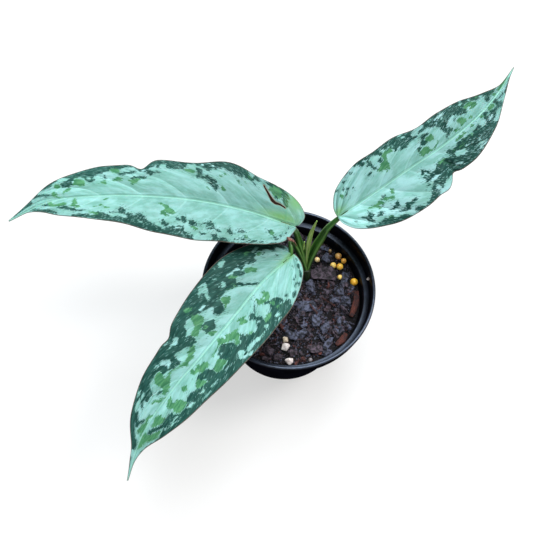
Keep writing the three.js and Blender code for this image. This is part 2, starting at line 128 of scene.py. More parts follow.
# how high the middles of chips and splinters stand over the soil, and how thick a splinter is
CHIP_LIFT = 0.34
SPLINTER_LIFT = 2.6
SPLINTER_HEIGHT = 0.9

# a round place that the chips leave free for the stem: x, y and radius
STEM_ROOM = (9.8, 12.2, 3.2)

# What lies loose on the soil: place, radius and, for grains, how flat they are.
PRILLS = [
    (22.1, 28.2, 1.0),
    (26.7, 25.3, 1.8),
    (29.6, 22.5, 1.5),
    (15.2, 22.0, 1.45),
    (23.9, 19.2, 1.65),
    (27.5, 18.7, 1.8),
    (27.7, 12.9, 1.35),
    (35.2, 10.1, 2.05),
]
GRAINS = [(-0.2, -24.6, 1.7, 0.8), (0.4, -28.9, 2.3, 0.85), (2.6, -36.3, 2.1, 0.8)]
BEAD = (13.3, -34.6, 1.1)
# a pale fleck stuck to the band inside the pot's rim
WALL_FLECK = (42.2, 9.2, 56)
BARK_WIDTH = 3.4
BARK_THICKNESS = 1.5
BARK_MIDDLE = 0.8
BARK_END_SHARE = 0.6
BARK_STRIPS = [
    [(36.7, 5.0), (36.2, -2.0), (33.8, -9.8)],
    [(31.4, -19.0), (29.6, -22.4), (26.3, -25.8)],
]

# Leaves. A blade's half-widths stand at the stations along its midrib, for the left and the right
# half seen from the stalk towards the tip. The veins of each half are their count, the share of a
# step before the first one and how far they lean to the tip; sage is how much duller each half is
# all over and beside the midrib, partly painted shade; level is painted light and shade: how light
# its tones are made at the stalk, midway and at the tip; specks is the share of light specks in the
# dark; warm lists yellower spots: along, reach, across, reach, share.
STATIONS = np.array([0, 0.03, 0.08, 0.16, 0.26, 0.36, 0.46, 0.56, 0.66, 0.76, 0.86, 0.93, 1])
VEIN_BEND = 1.3
RISE = 0.45
DROOP = 0.3
QUILT = 0.85
QUILT_LEVEL = 0.6
RUFFLE_SHIFT = 0.3
TAPER_WIDTH = 8
BASE_SHARE = 0.16
TIP_SHARE = 0.7
TIP_HALF_WIDTH = 0.4
RIM_THICKNESS = 0.28
MIDDLE_SWELL = 0.4
KEEL = 1.1
KEEL_HALF_WIDTH = 0.1
TEAR_DEPTH = 0.7
CREASE_DEPTH = 0.25
BLADE_ROWS = 320
BLADE_COLUMNS = 120

LEAVES = {
    "left": {
        "midrib": [(0.5, 20.5, 89), (-22.5, 23.5, 96), (-46, 24.5, 101.5), (-70, 23.5, 105),
                   (-94, 22, 105), (-118, 20, 100.5), (-139, 12.5, 92)],
        "left_half": [1.5, 6, 14, 19.5, 20.8, 23.5, 21.3, 16.1, 14.4, 10.8, 4.6, 0.9, 0.4],
        "right_half": [2.5, 11, 17, 19.1, 22.1, 20.1, 19, 16, 16.1, 11.3, 6.3, 3.4, 0.4],
        "base_sweep": -65,
        "tip_sweep": 45,
        "ruffle": (1.3, 3.6, 0.1),
        "notches": [(1, 0.524, 0.026, 3, 1.2)],
        "veins": ((7, 0.65, 0.12), (7, 0.65, 0.25)),
        "sage": ((0.6, 0), (0.6, 0.1)),
        "level": ((0.8, 0.88, 1.3), (0.62, 0.92, 1.38)),
        "specks": 0.2,
        "warm": [(8, 10, 2, 2.2, 0.75), (2, 5, 12, 6, 0.7)],
        "stalk": [(9.2, 14.3, 53), (7.6, 16.6, 59), (5.8, 18, 67), (3.6, 19.1, 76), (1.7, 20, 83.5)],
        "stalk_radius": [1.5, 2.1, 2.1, 1.9, 1.6, 1.4, 0.9],
        "opening": (1.0, -0.35, 0.3),
    },
    "front": {
        "midrib": [(0.5, 7, 85), (-14, -11, 87.5), (-26.5, -30.5, 89), (-39.5, -49.5, 88),
                   (-53, -67, 83), (-64.5, -84.5, 73), (-70.5, -102.5, 60)],
        "left_half": [0.5, 5.5, 13, 19, 19.7, 19.6, 18, 16.3, 14.8, 10.3, 3.9, 0.9, 0.4],
        "right_half": [1.5, 7.5, 15, 21.2, 23.4, 23.2, 20.5, 17, 15, 10, 3.5, 1.8, 0.4],
        "base_sweep": -60,
        "tip_sweep": 45,
        "ruffle": (1.0, 3.2, 0.35),
        "notches": [(1, 0.515, 0.026, 1.3, 1.5)],
        "veins": ((7, 0.5, 0.26), (7, 0.22, 0.28)),
        "sage": ((0.65, -0.1), (0.65, -0.2)),
        "level": ((0.95, 1.0, 1.3), (0.67, 0.88, 1.2)),
        "specks": 0.06,
        "warm": [(3, 8, 0, 1.8, 0.75)],
        "stalk": [(8.8, 14.2, 53), (6, 15.6, 62), (2.8, 15.6, 74), (-0.1, 14.6, 83),
                  (-1.1, 12, 86.6), (-0.5, 9.4, 86)],
        "stalk_radius": [1.1, 1.5, 1.5, 1.4, 1.3, 1.3, 1.2, 0.9],
        "opening": (1.0, 0.2, 0.3),
    },
    "right": {
        "midrib": [(22, 25.5, 92), (37.5, 34, 101), (53, 43, 110.5), (68.5, 52.5, 118.5),
                   (83.5, 65, 124.5), (95.5, 81, 125), (105, 98.5, 124)],
        "left_half": [0.5, 6.5, 13.5, 17.4, 17.3, 18.1, 14.8, 14.5, 12.5, 6.8, 2.2, 1, 0.4],
        "right_half": [0.5, 5.8, 12.8, 18.6, 22, 22.1, 16.2, 15.7, 11.2, 6.6, 3, 1.3, 0.4],
        "base_sweep": -40,
        "tip_sweep": 45,
        "ruffle": (1.0, 3.4, 0.8),
        "notches": [(1, 0.425, 0.03, -2.6, 0), (1, 0.47, 0.016, 2.4, 2)],
        "veins": ((8, 0.6, 0.3), (8.3, 0.82, 0.195)),
        "sage": ((0.3, 0.2), (0.3, 0)),
        "level": ((0.92, 0.83, 0.6), (1.16, 0.74, 0.76)),
        "specks": 0.22,
        "warm": [(1, 5, -2, 2.2, 0.75)],
        "stalk": [(9.8, 14.5, 53.5), (10.8, 17.2, 60), (12.8, 19.7, 68), (15.2, 21.6, 76),
                  (18, 23.3, 85)],
        "stalk_radius": [1.5, 2.1, 2.2, 2.1, 1.7, 1.3, 0.9],
        "opening": (-0.8, -0.6, 0.5),
    },
}

# how deep a stalk's end lies under the midrib at two shares of the blade, and how fast it rises
STALK_END_SHARES = (0.012, 0.05)
STALK_END_DEPTH = 1.3
STALK_END_RISE = 10
STALK_GROOVE = [0.9, 1.0, 0.95, 0.8, 0.5, 0.3, 0.1]
STEM_PATH = [(9.8, 11.8, 30), (9.8, 11.8, 40), (9.8, 12.1, 48), (9.4, 13.9, 53.5)]
STEM_RADIUS = [2.4, 2.5, 2.1, 2.0]
ROOT_CROWN = (9.8, 11.8, 35)
ROOT_RADIUS = [1.4, 1.2, 1.0, 0.7]
# direction in degrees, reach and drop of each root
ROOTS = [(15, 14, 19), (105, 17, 15), (175, 24, 21), (235, 26, 17), (300, 25, 23)]
# shares of the reach and of the drop along a root
ROOT_BEND = [(0, 0), (0.35, 0.3), (0.7, 0.62), (1, 1)]
SPEAR_PATH = [(9.3, 15, 54.5), (9, 17.2, 60), (8.8, 19.6, 67), (9.3, 21.7, 77), (10.3, 22.6, 84),
              (11.5, 23.2, 91)]
SPEAR_RADIUS = [0.8, 1.1, 1.2, 1.15, 0.8, 0.25]
SHEATH_TIP_PATH = [(6, 18, 66), (6.3, 18.3, 71), (6.5, 18.6, 76.5)]
SHEATH_TIP_RADIUS = [1.0, 0.8, 0.25]
BRACT_PATH = [(3, 17, 73), (2.3, 15, 79), (1.4, 13.2, 85), (0, 12, 90), (-2.4, 11.4, 92.8)]
BRACT_RADIUS = [0.6, 0.5, 0.5, 0.8, 1.2]

# Markings, laid down in this order. Each one is a tone and the corners of a closed outline, drawn
# in half millimetres: along the midrib and across it (the right half is positive).
MARKINGS = {
    "left": """
dark 128,-45 140,-42 150,-39 160,-35 172,-32 184,-31 194,-28 206,-26 216,-24 216,-22 206,-22 198,-24
  194,-24 193,-21 194,-20 189,-21 184,-23 178,-25 172,-25 168,-27 166,-27 165,-24 168,-22 164,-21 160,-22
  158,-24 156,-22 153,-22 150,-24 148,-26 145,-30 140,-32 136,-35 132,-38 129,-40
dark 101,-48 132,-46 132,-38 124,-36 116,-34 111,-34 112,-39 106,-41 101,-41
silver 105,-43 109,-43 109,-42 105,-42
silver 114,-37 122,-38 122,-37 115,-36
dark 125,-33 128,-36 132,-35 132,-31 133,-28 130,-28 129,-32
silver 149,-32 154,-30 154,-29 149,-31
dark 64,-42 72,-43 80,-44 84,-43 81,-39 84,-36 78,-35 76,-38 69,-37 64,-38
dark 73,-32 76,-33 82,-31 88,-33 86,-30 83,-30 85,-28 90,-32 89,-27 96,-30 90,-26 87,-24 85,-22 82,-24
  81,-28 79,-30 76,-30
dark 88,-37 92,-39 96,-39 95,-37 91,-37
green 96,-34 99,-36 104,-35 106,-33 102,-32 99,-33
dark 98,-31 101,-33 106,-33 107,-30 107,-27 104,-26 101,-27 98,-29
dark 109,-30 113,-31 116,-29 119,-28 120,-25 118,-24 118,-26 114,-27 115,-24 116,-24 113,-23 110,-25
  108,-28
dark 61,-30 62,-33 68,-31 68,-29 66,-28 65,-26 64,-29
dark 55,-37 59,-37 59,-36 55,-36
dark 28,-35 44,-38 66,-40 66,-46 44,-46 28,-40
dark 36,32 30,32 24,30 18,27 14,24 11,24 14,30 22,36 36,42
dark 12,16 16,18 19,23 17,26 13,22 11,18
dark 44,-33 48,-35 52,-36 55,-34 51,-34 49,-33 51,-30 48,-31 46,-31
green 46,-33 49,-32 50,-30 47,-30
dark 48,-26 50,-27 53,-28 57,-30 57,-28 54,-26 49,-26
dark 34,-31 36,-34 41,-36 47,-38 42,-34 38,-32
dark 29,-32 33,-33 33,-32 30,-31
dark 13,-28 17,-29 24,-33 24,-32 17,-27
dark 14,-22 16,-24 19,-25 20,-22 19,-21 17,-22 15,-21
green 20,-18 21,-21 24,-21 26,-19 26,-17 23,-15 20,-16
dark 24,-20 26,-20 27,-17 24,-15 23,-17 25,-18
dark 12,-19 14,-19 14,-17 12,-17
dark 7,-13 8,-13 8,-11 7,-11
dark 5,-6 6,-6 6,-4 5,-4
silver -3,11 2,11 2,17 -3,17
silver 2,8 6,8 6,10 2,10
silver 1,2 3,2 3,8 1,8
silver -7,3 -1,3 -1,10 -6,10
dark 167,-22 171,-22 173,-20 174,-18 172,-15 169,-15 166,-17 167,-19
dark 172,-21 182,-21 182,-20 173,-20
green 119,-19 122,-21 127,-21 130,-19 128,-22 126,-23 130,-24 134,-22 135,-20 133,-18 130,-16 130,-14
  132,-12 136,-10 136,-8 133,-9 130,-10 128,-10 125,-14 121,-17
green 182,-16 184,-17 188,-15 192,-13 191,-12 188,-12 186,-14 183,-15
green 193,-15 197,-15 197,-14 193,-14
green 184,-4 186,-6 188,-6 189,-5 187,-3 185,-2
green 191,-24 196,-23 201,-21 200,-20 195,-20 192,-21
dark 204,-18 208,-19 213,-18 218,-16 224,-14 230,-12 234,-10 231,-10 225,-10 221,-12 217,-13 212,-16
  207,-17
green 209,-13 212,-14 217,-12 221,-10 218,-9 219,-5 217,-2 215,-3 215,-5 213,-7 214,-10 211,-11
green 223,-9 226,-10 232,-10 238,-8 242,-7 245,-4 245,-1 241,0 240,-3 238,-5 232,-6 227,-5 224,-7
dark 233,-17 240,-14 250,-10 260,-5 266,-1 260,-2 252,-6 244,-9 236,-13
dark 244,-5 248,-4 254,-1 249,-1 245,-2
dark 60,34 61,30 64,31 67,32 69,31 71,34 75,34 78,36 82,36 87,34 90,35 91,31 94,31 95,33 98,33 99,36
  103,36 106,38 110,37 113,36 114,32 116,30 122,29 130,29 132,32 131,34 136,33 138,30 137,28 140,28 141,31
  145,31 146,34 142,38 138,42 120,43 90,49 70,50 60,46
silver 88,37 90,37 90,39 88,39
silver 76,41 79,41 79,42 76,42
silver 91,39 94,40 94,41 91,41
silver 98,36 100,38 99,40 97,38
silver 104,32 113,33 112,35 106,35
dark 42,34 45,32 49,33 50,30 54,30 58,31 61,35 62,43 58,43 56,38 54,35 51,34 50,37 50,39 47,37 44,35
green 51,33 55,33 56,36 53,35
dark 46,26 49,27 51,30 49,30 47,28
green 20,23 23,20 27,20 31,26 34,28 34,31 30,34 24,34 21,31 19,27
dark 12,17 14,19 18,24 21,27 20,28 16,25 14,21
dark 23,20 26,20 27,24 25,25 23,22
dark 30,31 34,33 39,35 38,36 33,35 30,34
dark 17,30 20,33 24,36 22,36 18,33
dark 24,35 30,37 38,38 38,39 30,39 25,37
dark 82,17 83,12 86,14 90,18 95,20 92,20 94,22 98,23 100,24 102,22 104,24 103,25 102,26 103,29 104,32
  103,34 100,33 98,30 98,26 95,25 93,26 91,24 88,23 85,23 87,21 84,21
silver 87,18 91,19 91,20 88,19
green 74,14 76,13 78,14 79,18 77,17 75,16
green 89,12 91,12 93,15 91,14
green 60,23 62,24 65,26 64,27 62,25
green 56,26 58,27 57,27
green 76,29 79,27 82,26 82,28 79,29 77,31
green 104,28 107,27 111,28 114,29 113,31 108,31 105,30
dark 136,23 139,25 142,24 145,25 149,26 150,23 149,21 145,20 143,22 140,23
dark 149,18 152,16 156,17 161,16 163,15 164,16 161,18 156,20 151,20
green 154,16 157,13 158,11 160,11 162,10 164,12 166,14 163,15 161,16 156,17
dark 159,24 161,22 164,21 168,20 172,19 176,20 174,23 170,23 166,23 163,25
green 172,14 174,14 180,14 183,14 180,17 176,18 172,16
green 186,13 188,10 191,11 194,12 191,14 189,15
dark 187,17 189,17 193,18 190,19 190,21 188,20
dark 163,28 170,28 174,27 180,28 184,28 185,24 190,24 193,22 196,22 199,21 200,17 198,16 199,14 201,13
  204,13 207,15 209,18 212,19 218,18 220,14 220,12 224,10 230,11 231,13 228,16 225,16 223,18 228,20 232,20
  236,17 240,13 243,12 246,12 250,14 256,14 240,20 226,26 210,32 200,35 190,36 172,36 163,35
silver 202,16 207,17 206,19 203,19
green 174,22 178,21 182,23 185,25 184,28 179,28 175,26 175,24
dark 240,5 246,5 252,7 258,8 264,9 258,12 252,10 244,7
dark 234,17 240,14 246,12 250,12 247,14 240,17 235,19
silver 226,18 232,16 235,16 230,19
green 207,12 209,10 213,10 216,11 219,12 219,16 217,18 212,17 209,16
green 220,9 222,6 226,5 228,4 229,6 226,8 223,10
green 226,2 232,1 238,3 238,4 232,2
green 234,4 237,3 239,4 240,7 237,8 235,6
green 231,11 234,10 237,11 237,14 233,14 231,13
dark 141,31 146,27 150,24 156,24 160,27 163,30 163,45 141,45
dark 260,4 270,3 284,1 284,6 262,9
silver 150,25 153,24 155,26 152,27
""",
    "front": """
dark 43,-33 46,-35 48,-36 47,-38 52,-42 84,-42 120,-41 150,-38 180,-34 200,-31 220,-25 235,-19 246,-12
  246,-4 240,-7 232,-11 226,-14 222,-16 216,-16 210,-16 214,-13 219,-10 224,-7 226,-4 222,-4 217,-7
  213,-10 208,-12 199,-12 195,-13 194,-14 195,-16 193,-18 190,-21 184,-21 178,-20 178,-18 175,-16 172,-15
  169,-16 167,-18 164,-18 162,-20 156,-21 152,-21 152,-19 154,-17 156,-15 158,-13 157,-11 154,-10 151,-11
  147,-12 144,-13 143,-16 141,-17 142,-22 139,-24 131,-24 128,-23 129,-20 130,-16 129,-13 126,-10 122,-9
  118,-9 115,-12 112,-16 112,-18 113,-21 111,-22 108,-22 106,-20 105,-18 102,-18 100,-20 101,-21 98,-22
  97,-24 95,-25 93,-26 91,-27 89,-26 87,-24 85,-22 83,-21 82,-19 84,-17 86,-15 86,-14 84,-13 82,-12 79,-12
  76,-14 78,-16 80,-18 78,-20 77,-21 78,-24 79,-26 77,-26 70,-26 65,-24 62,-21 63,-19 65,-17 63,-16 61,-17
  58,-19 54,-20 50,-22 49,-25 50,-29 49,-30 45,-31
silver 50,-30 55,-29 58,-28 52,-28
silver 63,-32 65,-34 68,-34 69,-32 66,-31
silver 66,-37 70,-37 70,-36 66,-36
silver 71,-36 73,-35 72,-35
silver 80,-32 84,-34 90,-34 96,-35 96,-34 90,-33 84,-33 85,-30 82,-29 80,-31
silver 80,-24 83,-24 85,-22 83,-22 81,-23
silver 94,-33 96,-35 99,-34 110,-34 111,-32 108,-30 104,-30 100,-31 95,-31
silver 108,-36 112,-37 117,-34 120,-32 120,-29 117,-26 114,-26 112,-29 113,-31 116,-31 114,-33 110,-34
silver 128,-28 133,-28 136,-27 132,-27
silver 144,-28 150,-28 155,-27 153,-26 146,-27
silver 157,-29 168,-29 166,-28 158,-28
silver 157,-24 161,-25 165,-24 165,-23 158,-23
silver 172,-26 175,-25 179,-25 183,-22 180,-22 176,-22 174,-24
silver 193,-23 197,-23 205,-20 212,-18 211,-17 204,-19 196,-22
silver 194,-20 202,-19 202,-18 195,-19
silver 125,-14 127,-15 126,-13
green 56,-29 61,-29 61,-27 57,-27
green 56,-22 58,-24 61,-24 61,-22 60,-20 57,-21
green 68,-27 70,-29 74,-29 80,-29 79,-27 78,-25 73,-25 70,-25
green 51,-12 53,-14 56,-17 60,-17 63,-16 66,-15 68,-13 67,-10 65,-8 66,-6 63,-5 62,-8 63,-10 60,-10 57,-10
  56,-8 56,-6 54,-6 52,-7 53,-9 52,-11
silver 58,-13 61,-13 61,-12 58,-12
green 93,-24 96,-25 97,-23 94,-22
green 87,-14 90,-14 93,-12 95,-10 94,-9 92,-8 93,-5 90,-5 88,-6 86,-8 84,-9 87,-10 87,-12
green 98,-12 102,-13 102,-17 105,-18 106,-20 108,-22 111,-22 113,-20 112,-18 109,-17 109,-15 112,-13
  115,-11 118,-9 122,-7 120,-4 118,-1 116,-2 113,-4 110,-5 108,-6 106,-8 103,-9 100,-10
silver 105,-20 108,-20 107,-19
silver 110,-7 113,-7 113,-2 111,-2
green 122,-8 127,-9 133,-10 134,-9 132,-8 126,-7 122,-6
green 128,-23 131,-24 135,-23 139,-24 142,-22 142,-19 141,-17 138,-17 135,-16 132,-14 130,-16 129,-19
green 139,-9 140,-12 143,-13 146,-12 150,-12 151,-9 153,-7 156,-7 157,-4 156,-1 153,-1 153,-4 151,-3
  147,-3 145,-5 141,-6
green 152,-20 156,-21 160,-20 163,-19 163,-17 161,-14 158,-12 156,-13 155,-16 153,-18
green 167,-9 170,-12 173,-11 174,-8 172,-6 168,-7
green 178,-18 180,-20 184,-21 190,-20 192,-18 193,-15 192,-12 195,-8 194,-5 191,-3 188,-2 185,-3 187,-6
  188,-8 187,-9 183,-10 181,-13
green 203,-12 208,-12 212,-10 216,-7 218,-5 217,-3 213,-4 210,-2 206,-3 203,-5 204,-8 203,-10
green 212,-15 216,-15 222,-15 226,-13 230,-10 234,-6 240,-4 244,-2 244,0 230,0 226,-2 226,-4 224,-7
  219,-10
dark 62,-5 66,-7 70,-10 75,-13 78,-16 80,-18 81,-15 78,-14 74,-11 69,-8 65,-6
dark 97,-25 101,-25 102,-23 101,-21 98,-22
dark 2,-7 4,-9 5,-9 4,-7 3,-6
dark 6,-13 8,-15 10,-17 11,-16 10,-14 8,-12
dark 12,-11 13,-11 13,-9 12,-9
dark 10,-19 12,-21 13,-23 16,-26 18,-26 17,-23 14,-20 12,-18
dark 18,-19 21,-21 23,-22 24,-21 21,-20 19,-19
dark 20,-28 24,-30 27,-29 25,-28 27,-27 30,-28 30,-27 26,-25 24,-25 23,-27
dark 32,-31 35,-34 38,-35 40,-34 38,-31 35,-30 33,-30
dark 40,-27 42,-29 44,-29 45,-27 43,-26 41,-26
dark 1,6 4,10 6,15 9,16 12,13 14,14 15,17 16,20 19,22 22,22 24,24 29,24 31,22 33,22 32,19 34,18 38,19
  40,20 41,23 43,24 46,23 50,21 50,18 53,17 55,19 57,22 61,20 63,17 66,18 69,17 72,19 75,21 78,20 83,20
  88,20 92,21 96,20 98,22 100,23 104,24 109,26 110,28 118,29 120,30 127,29 129,25 132,23 134,21 131,19
  130,15 132,10 134,12 138,12 141,14 142,16 150,18 155,18 156,13 155,11 157,10 161,11 164,11 168,13 172,14
  174,16 174,20 177,21 182,20 186,20 190,18 192,13 194,11 198,12 201,11 203,14 205,14 208,12 211,11 209,14
  205,16 204,19 208,19 212,18 214,13 217,11 221,11 224,10 228,8 232,6 235,4 236,2 240,1 246,1 246,6 238,9
  220,20 200,28 180,34 160,38 145,42 120,48 100,51 70,51 40,46 20,38 6,28 0,14
dark 12,8 14,8 15,10 14,11 13,9
dark 21,18 25,18 24,19 21,19
dark 49,18 52,17 55,18 57,21 57,24 54,23 50,20
dark 48,2 51,3 54,5 57,8 60,11 63,14 66,17 66,18 63,17 60,15 57,11 53,7 50,5
dark 88,14 90,12 92,9 94,10 97,11 99,13 101,15 100,17 98,18 96,20 92,21 88,20 86,19 87,17
dark 104,13 106,10 108,9 108,6 111,7 114,6 117,9 120,9 119,11 119,15 117,17 113,17 108,15
dark 185,6 188,6 192,8 192,9 188,9 186,8
dark 216,5 218,4 222,6 225,6 226,8 224,10 221,12 218,11 219,8
silver 21,27 24,26 30,26 30,28 25,29 22,29
silver 50,23 53,23 56,26 59,25 61,27 64,28 62,29 58,28 54,28 51,27
silver 47,27 50,27 49,29
silver 53,40 55,38 59,38 61,40 60,42 57,43 54,42
silver 70,25 71,23 73,23 75,25 77,28 77,30 73,29 70,28
dark 73,27 75,27 75,29 74,29
silver 70,36 72,34 75,36 74,37 71,37
silver 90,28 94,28 94,30 92,33 90,34 91,37 95,38 94,40 90,42 88,44 82,43 80,41 81,39 84,37 84,35 87,33
  89,31
dark 85,40 88,40 88,42 86,42
silver 92,36 97,35 96,37
silver 62,42 65,42 64,43
silver 96,20 99,18 102,15 105,14 107,15 109,18 112,19 114,19 114,22 112,24 109,24 107,22 104,21 100,23
  98,22
silver 100,26 102,25 105,26 109,26 107,27 106,29 103,29 100,28
silver 119,28 120,25 123,22 127,21 131,20 134,22 132,23 129,24 129,27 127,29 123,30 120,30
silver 141,14 144,13 146,11 146,10 150,9 154,8 154,11 155,13 154,16 151,17 146,16 142,15
silver 160,19 162,17 165,15 167,15 166,18 168,20 170,22 169,24 165,24 164,22 161,20
silver 168,13 172,12 176,11 175,13 174,15 170,14
silver 139,27 142,26 144,24 146,24 149,26 153,26 154,27 150,28 146,28 143,30 140,29
silver 148,31 155,31 155,32 149,32
silver 171,23 173,22 175,23 175,25 173,26 171,25
dark 172,24 174,23 174,25
silver 197,18 200,17 204,17 200,19 198,19
silver 204,18 207,16 211,16 215,15 212,18 208,19 205,19
silver 198,23 201,21 205,21 204,22 200,24
silver 245,1 249,-1 254,0 252,3 247,4
dark 253,2 264,2 278,1 278,5 253,7
green 24,20 28,20 29,23 27,24 24,23
green 31,29 37,29 38,31 33,32
green 39,12 42,11 45,12 46,15 49,16 50,18 48,20 45,20 42,18 40,15
green 57,20 60,20 62,22 64,25 65,27 62,27 60,25 58,23
green 64,16 66,16 67,18 65,19
green 77,14 79,12 82,11 87,11 90,10 89,12 87,14 87,17 86,19 83,20 80,18 79,16
green 111,3 115,3 118,4 119,7 118,9 115,8 113,6
green 113,12 117,12 118,14 114,15
green 110,18 113,18 117,17 119,15 122,16 124,14 127,14 129,15 130,18 127,20 124,20 121,22 119,26 118,29
  115,30 111,28 110,24 109,22
green 109,35 112,34 115,35 117,37 116,40 112,40 110,38
green 134,10 138,8 142,6 145,4 150,4 154,3 156,5 161,8 162,9 158,9 153,8 148,9 145,11 142,12 137,12
green 170,9 174,7 177,5 179,3 184,2 188,2 188,5 185,7 184,10 185,14 184,17 181,20 177,21 174,20 174,15
  176,11 171,11 166,12 163,10 168,10
green 189,1 193,1 196,2 198,5 202,7 201,8 197,7 193,4
green 202,0 204,0 203,2
green 206,1 210,3 214,4 218,3 222,5 225,5 228,6 231,4 229,3 232,1 226,0 220,0 214,2 210,0
""",
    "right": """
dark 39,-38 40,-33 42,-32 44,-33 45,-31 45,-29 47,-28 51,-28 52,-30 50,-32 53,-32 54,-30 60,-30 65,-29
  67,-27 69,-26 70,-27 71,-28 70,-30 73,-31 75,-29 77,-28 78,-30 79,-30 79,-28 80,-26 81,-25 82,-23 81,-22
  83,-21 85,-23 86,-24 88,-23 87,-21 85,-20 87,-19 93,-18 96,-20 97,-21 100,-21 103,-20 104,-21 107,-20
  108,-21 108,-23 105,-24 103,-25 103,-27 105,-28 108,-29 112,-31 120,-31 120,-36 100,-40 80,-42 60,-40
  45,-40
dark 53,-30 56,-30 57,-27 57,-24 57,-21 59,-18 59,-16 57,-17 54,-19 54,-20 55,-21 54,-23 52,-23 51,-25
  53,-26 53,-28
dark 47,-18 51,-19 52,-19 52,-17 51,-16 47,-16
dark 63,-24 65,-25 67,-25 68,-23 67,-21 65,-20 64,-21 63,-23
dark 25,-31 28,-33 33,-36 31,-32 28,-31
dark 32,-31 33,-32 34,-30 36,-30 36,-29 34,-28 32,-28 33,-30
dark 21,-28 23,-28 24,-27 26,-26 27,-26 25,-25 22,-23 22,-25
dark 20,-22 21,-21 20,-19 18,-18 18,-20
dark 21,-19 23,-20 25,-18 22,-17
dark 20,-17 21,-16 20,-14 19,-12 17,-12 18,-14
dark 28,-16 29,-16 29,-15 28,-15
dark 10,-23 12,-25 14,-24 13,-22 11,-22
green 13,-17 15,-17 16,-15 15,-14 14,-12 13,-12 13,-14 12,-15
green 69,-26 71,-28 76,-28 79,-28 80,-25 80,-23 77,-23 74,-23 72,-21 71,-19 71,-16 70,-13 69,-12 69,-10
  68,-10 67,-12 66,-12 65,-10 64,-10 64,-12 61,-13 58,-14 57,-15 60,-16 61,-17 63,-19 65,-20 68,-21 68,-25
dark 100,-8 99,-10 101,-12 104,-12 106,-14 106,-15 108,-16 109,-17 108,-18 109,-20 113,-20 117,-19 119,-18
  118,-17 115,-17 112,-16 110,-15 113,-13 113,-11 111,-10 108,-10 105,-11 104,-9 101,-8
green 111,-14 113,-16 116,-16 120,-15 120,-12 119,-10 115,-10 113,-11
green 100,-8 104,-8 107,-9 110,-8 110,-6 111,-5 110,-3 107,-2 104,-3 101,-2 100,-3 101,-5 99,-5 98,-6
dark 108,-24 114,-25 120,-25 120,-23 114,-22 109,-23
green 110,-4 115,-4 119,-5 121,-7 122,-6 119,-4 115,-2 110,-2
silver 80,-28 82,-29 83,-27 82,-26
silver 93,-32 95,-31 97,-29 97,-28 95,-28 93,-30
silver 91,-34 97,-35 97,-33 92,-33
silver 98,-32 100,-32 100,-31 98,-31
dark 118,-31 118,-27 117,-25 118,-24 120,-23 122,-21 125,-20 127,-19 128,-17 130,-15 130,-11 131,-10
  131,-9 131,-8 132,-7 130,-5 129,-4 128,-3 130,-3 133,-4 135,-6 138,-6 140,-5 139,-8 137,-10 135,-11
  137,-13 138,-14 140,-15 141,-16 143,-17 147,-17 149,-16 150,-15 148,-14 146,-14 144,-13 144,-11 146,-12
  150,-13 153,-12 156,-11 159,-10 160,-10 161,-13 160,-17 164,-17 167,-18 171,-17 173,-15 176,-13 180,-11
  184,-12 186,-10 189,-8 186,-7 184,-6 184,-4 186,-2 189,-2 190,-3 191,-4 194,-5 197,-4 200,-4 204,-5
  207,-6 210,-9 190,-19 170,-31 150,-37 120,-37
green 138,-5 141,-5 145,-4 144,-3 139,-3
green 146,-10 150,-11 154,-9 155,-6 153,-4 149,-3 147,-3 147,-6
green 157,-5 160,-6 162,-5 160,-3 157,-4
green 161,-17 164,-17 168,-17 171,-16 174,-13 176,-11 176,-9 173,-8 168,-9 165,-11 161,-10
silver 161,-11 163,-13 166,-13 168,-12 167,-11 163,-10
green 195,-3 197,-4 199,-2 198,-1 195,-1
green 208,-2 212,-3 215,-2 212,-1
green 179,-14 181,-15 183,-14 181,-13
silver 171,-18 173,-19 174,-17 172,-16
silver 125,-27 128,-27 128,-26 125,-26
silver 130,-24 135,-26 143,-25 142,-24 135,-23
silver 149,-25 151,-26 154,-26 154,-25 150,-25
silver 136,-21 138,-22 138,-20
silver 129,-21 131,-21 131,-20 129,-20
silver 159,-21 162,-22 165,-21 164,-20 160,-20
silver 163,-24 167,-24 167,-23 164,-23
dark 88,14 90,13 91,10 92,9 94,10 96,13 97,15 99,18 102,17 105,15 107,13 111,12 115,11 118,14 120,14
  121,11 120,8 122,7 124,8 126,10 130,10 132,8 133,7 135,8 136,9 138,7 140,7 141,8 145,7 146,8 147,10
  149,10 150,8 153,7 155,7 158,5 159,6 159,8 158,11 161,12 163,11 165,9 167,6 168,4 170,1 172,1 175,2
  176,3 175,5 172,5 170,6 171,7 174,7 175,5 178,5 180,6 184,7 187,6 188,4 187,2 190,1 194,0 195,1 193,4
  193,6 196,7 194,9 192,10 191,11 189,11 185,10 181,10 178,12 175,13 170,14 170,16 175,17 180,15 186,12
  188,14 180,19 170,24 160,28 150,32 140,35 130,36 120,34 117,28 114,29 111,30 108,32 105,33 103,34 101,35
  99,38 96,38 94,40 93,45 88,46 84,46 78,46 75,46 78,42 81,41 84,40 87,38 88,35 90,34 91,32 92,31 94,29
  96,28 96,26 95,25 92,25 88,25 88,24 90,23 90,20 88,19 88,18 90,17 92,16 90,15 88,15
silver 92,13 94,14 96,17 97,19 95,20 94,17
silver 95,24 98,23 101,23 104,24 103,25 100,26 98,27 96,27 93,28 92,29 91,27 94,26
silver 94,34 96,32 98,33 99,35 98,37 95,37
dark 87,28 89,27 91,28 91,29 88,29
green 108,14 111,12 115,12 117,13 113,14 110,15
dark 12,15 14,16 16,18 15,18 13,17
dark 20,15 22,16 24,17 26,18 28,17 28,15 29,13 30,15 31,17 32,19 33,20 31,22 30,22 29,24 30,26 31,28 28,28
  26,26 24,24 23,21 24,20 22,18 21,17
dark 33,24 35,23 36,22 39,21 41,22 43,23 42,25 40,25 39,26 37,26 36,25
green 30,11 33,11 36,11 39,12 42,11 45,11 47,11 50,11 52,13 55,14 58,16 58,18 56,20 53,18 50,17 47,16
  45,18 44,18 42,19 40,20 39,18 38,16 35,14 33,13
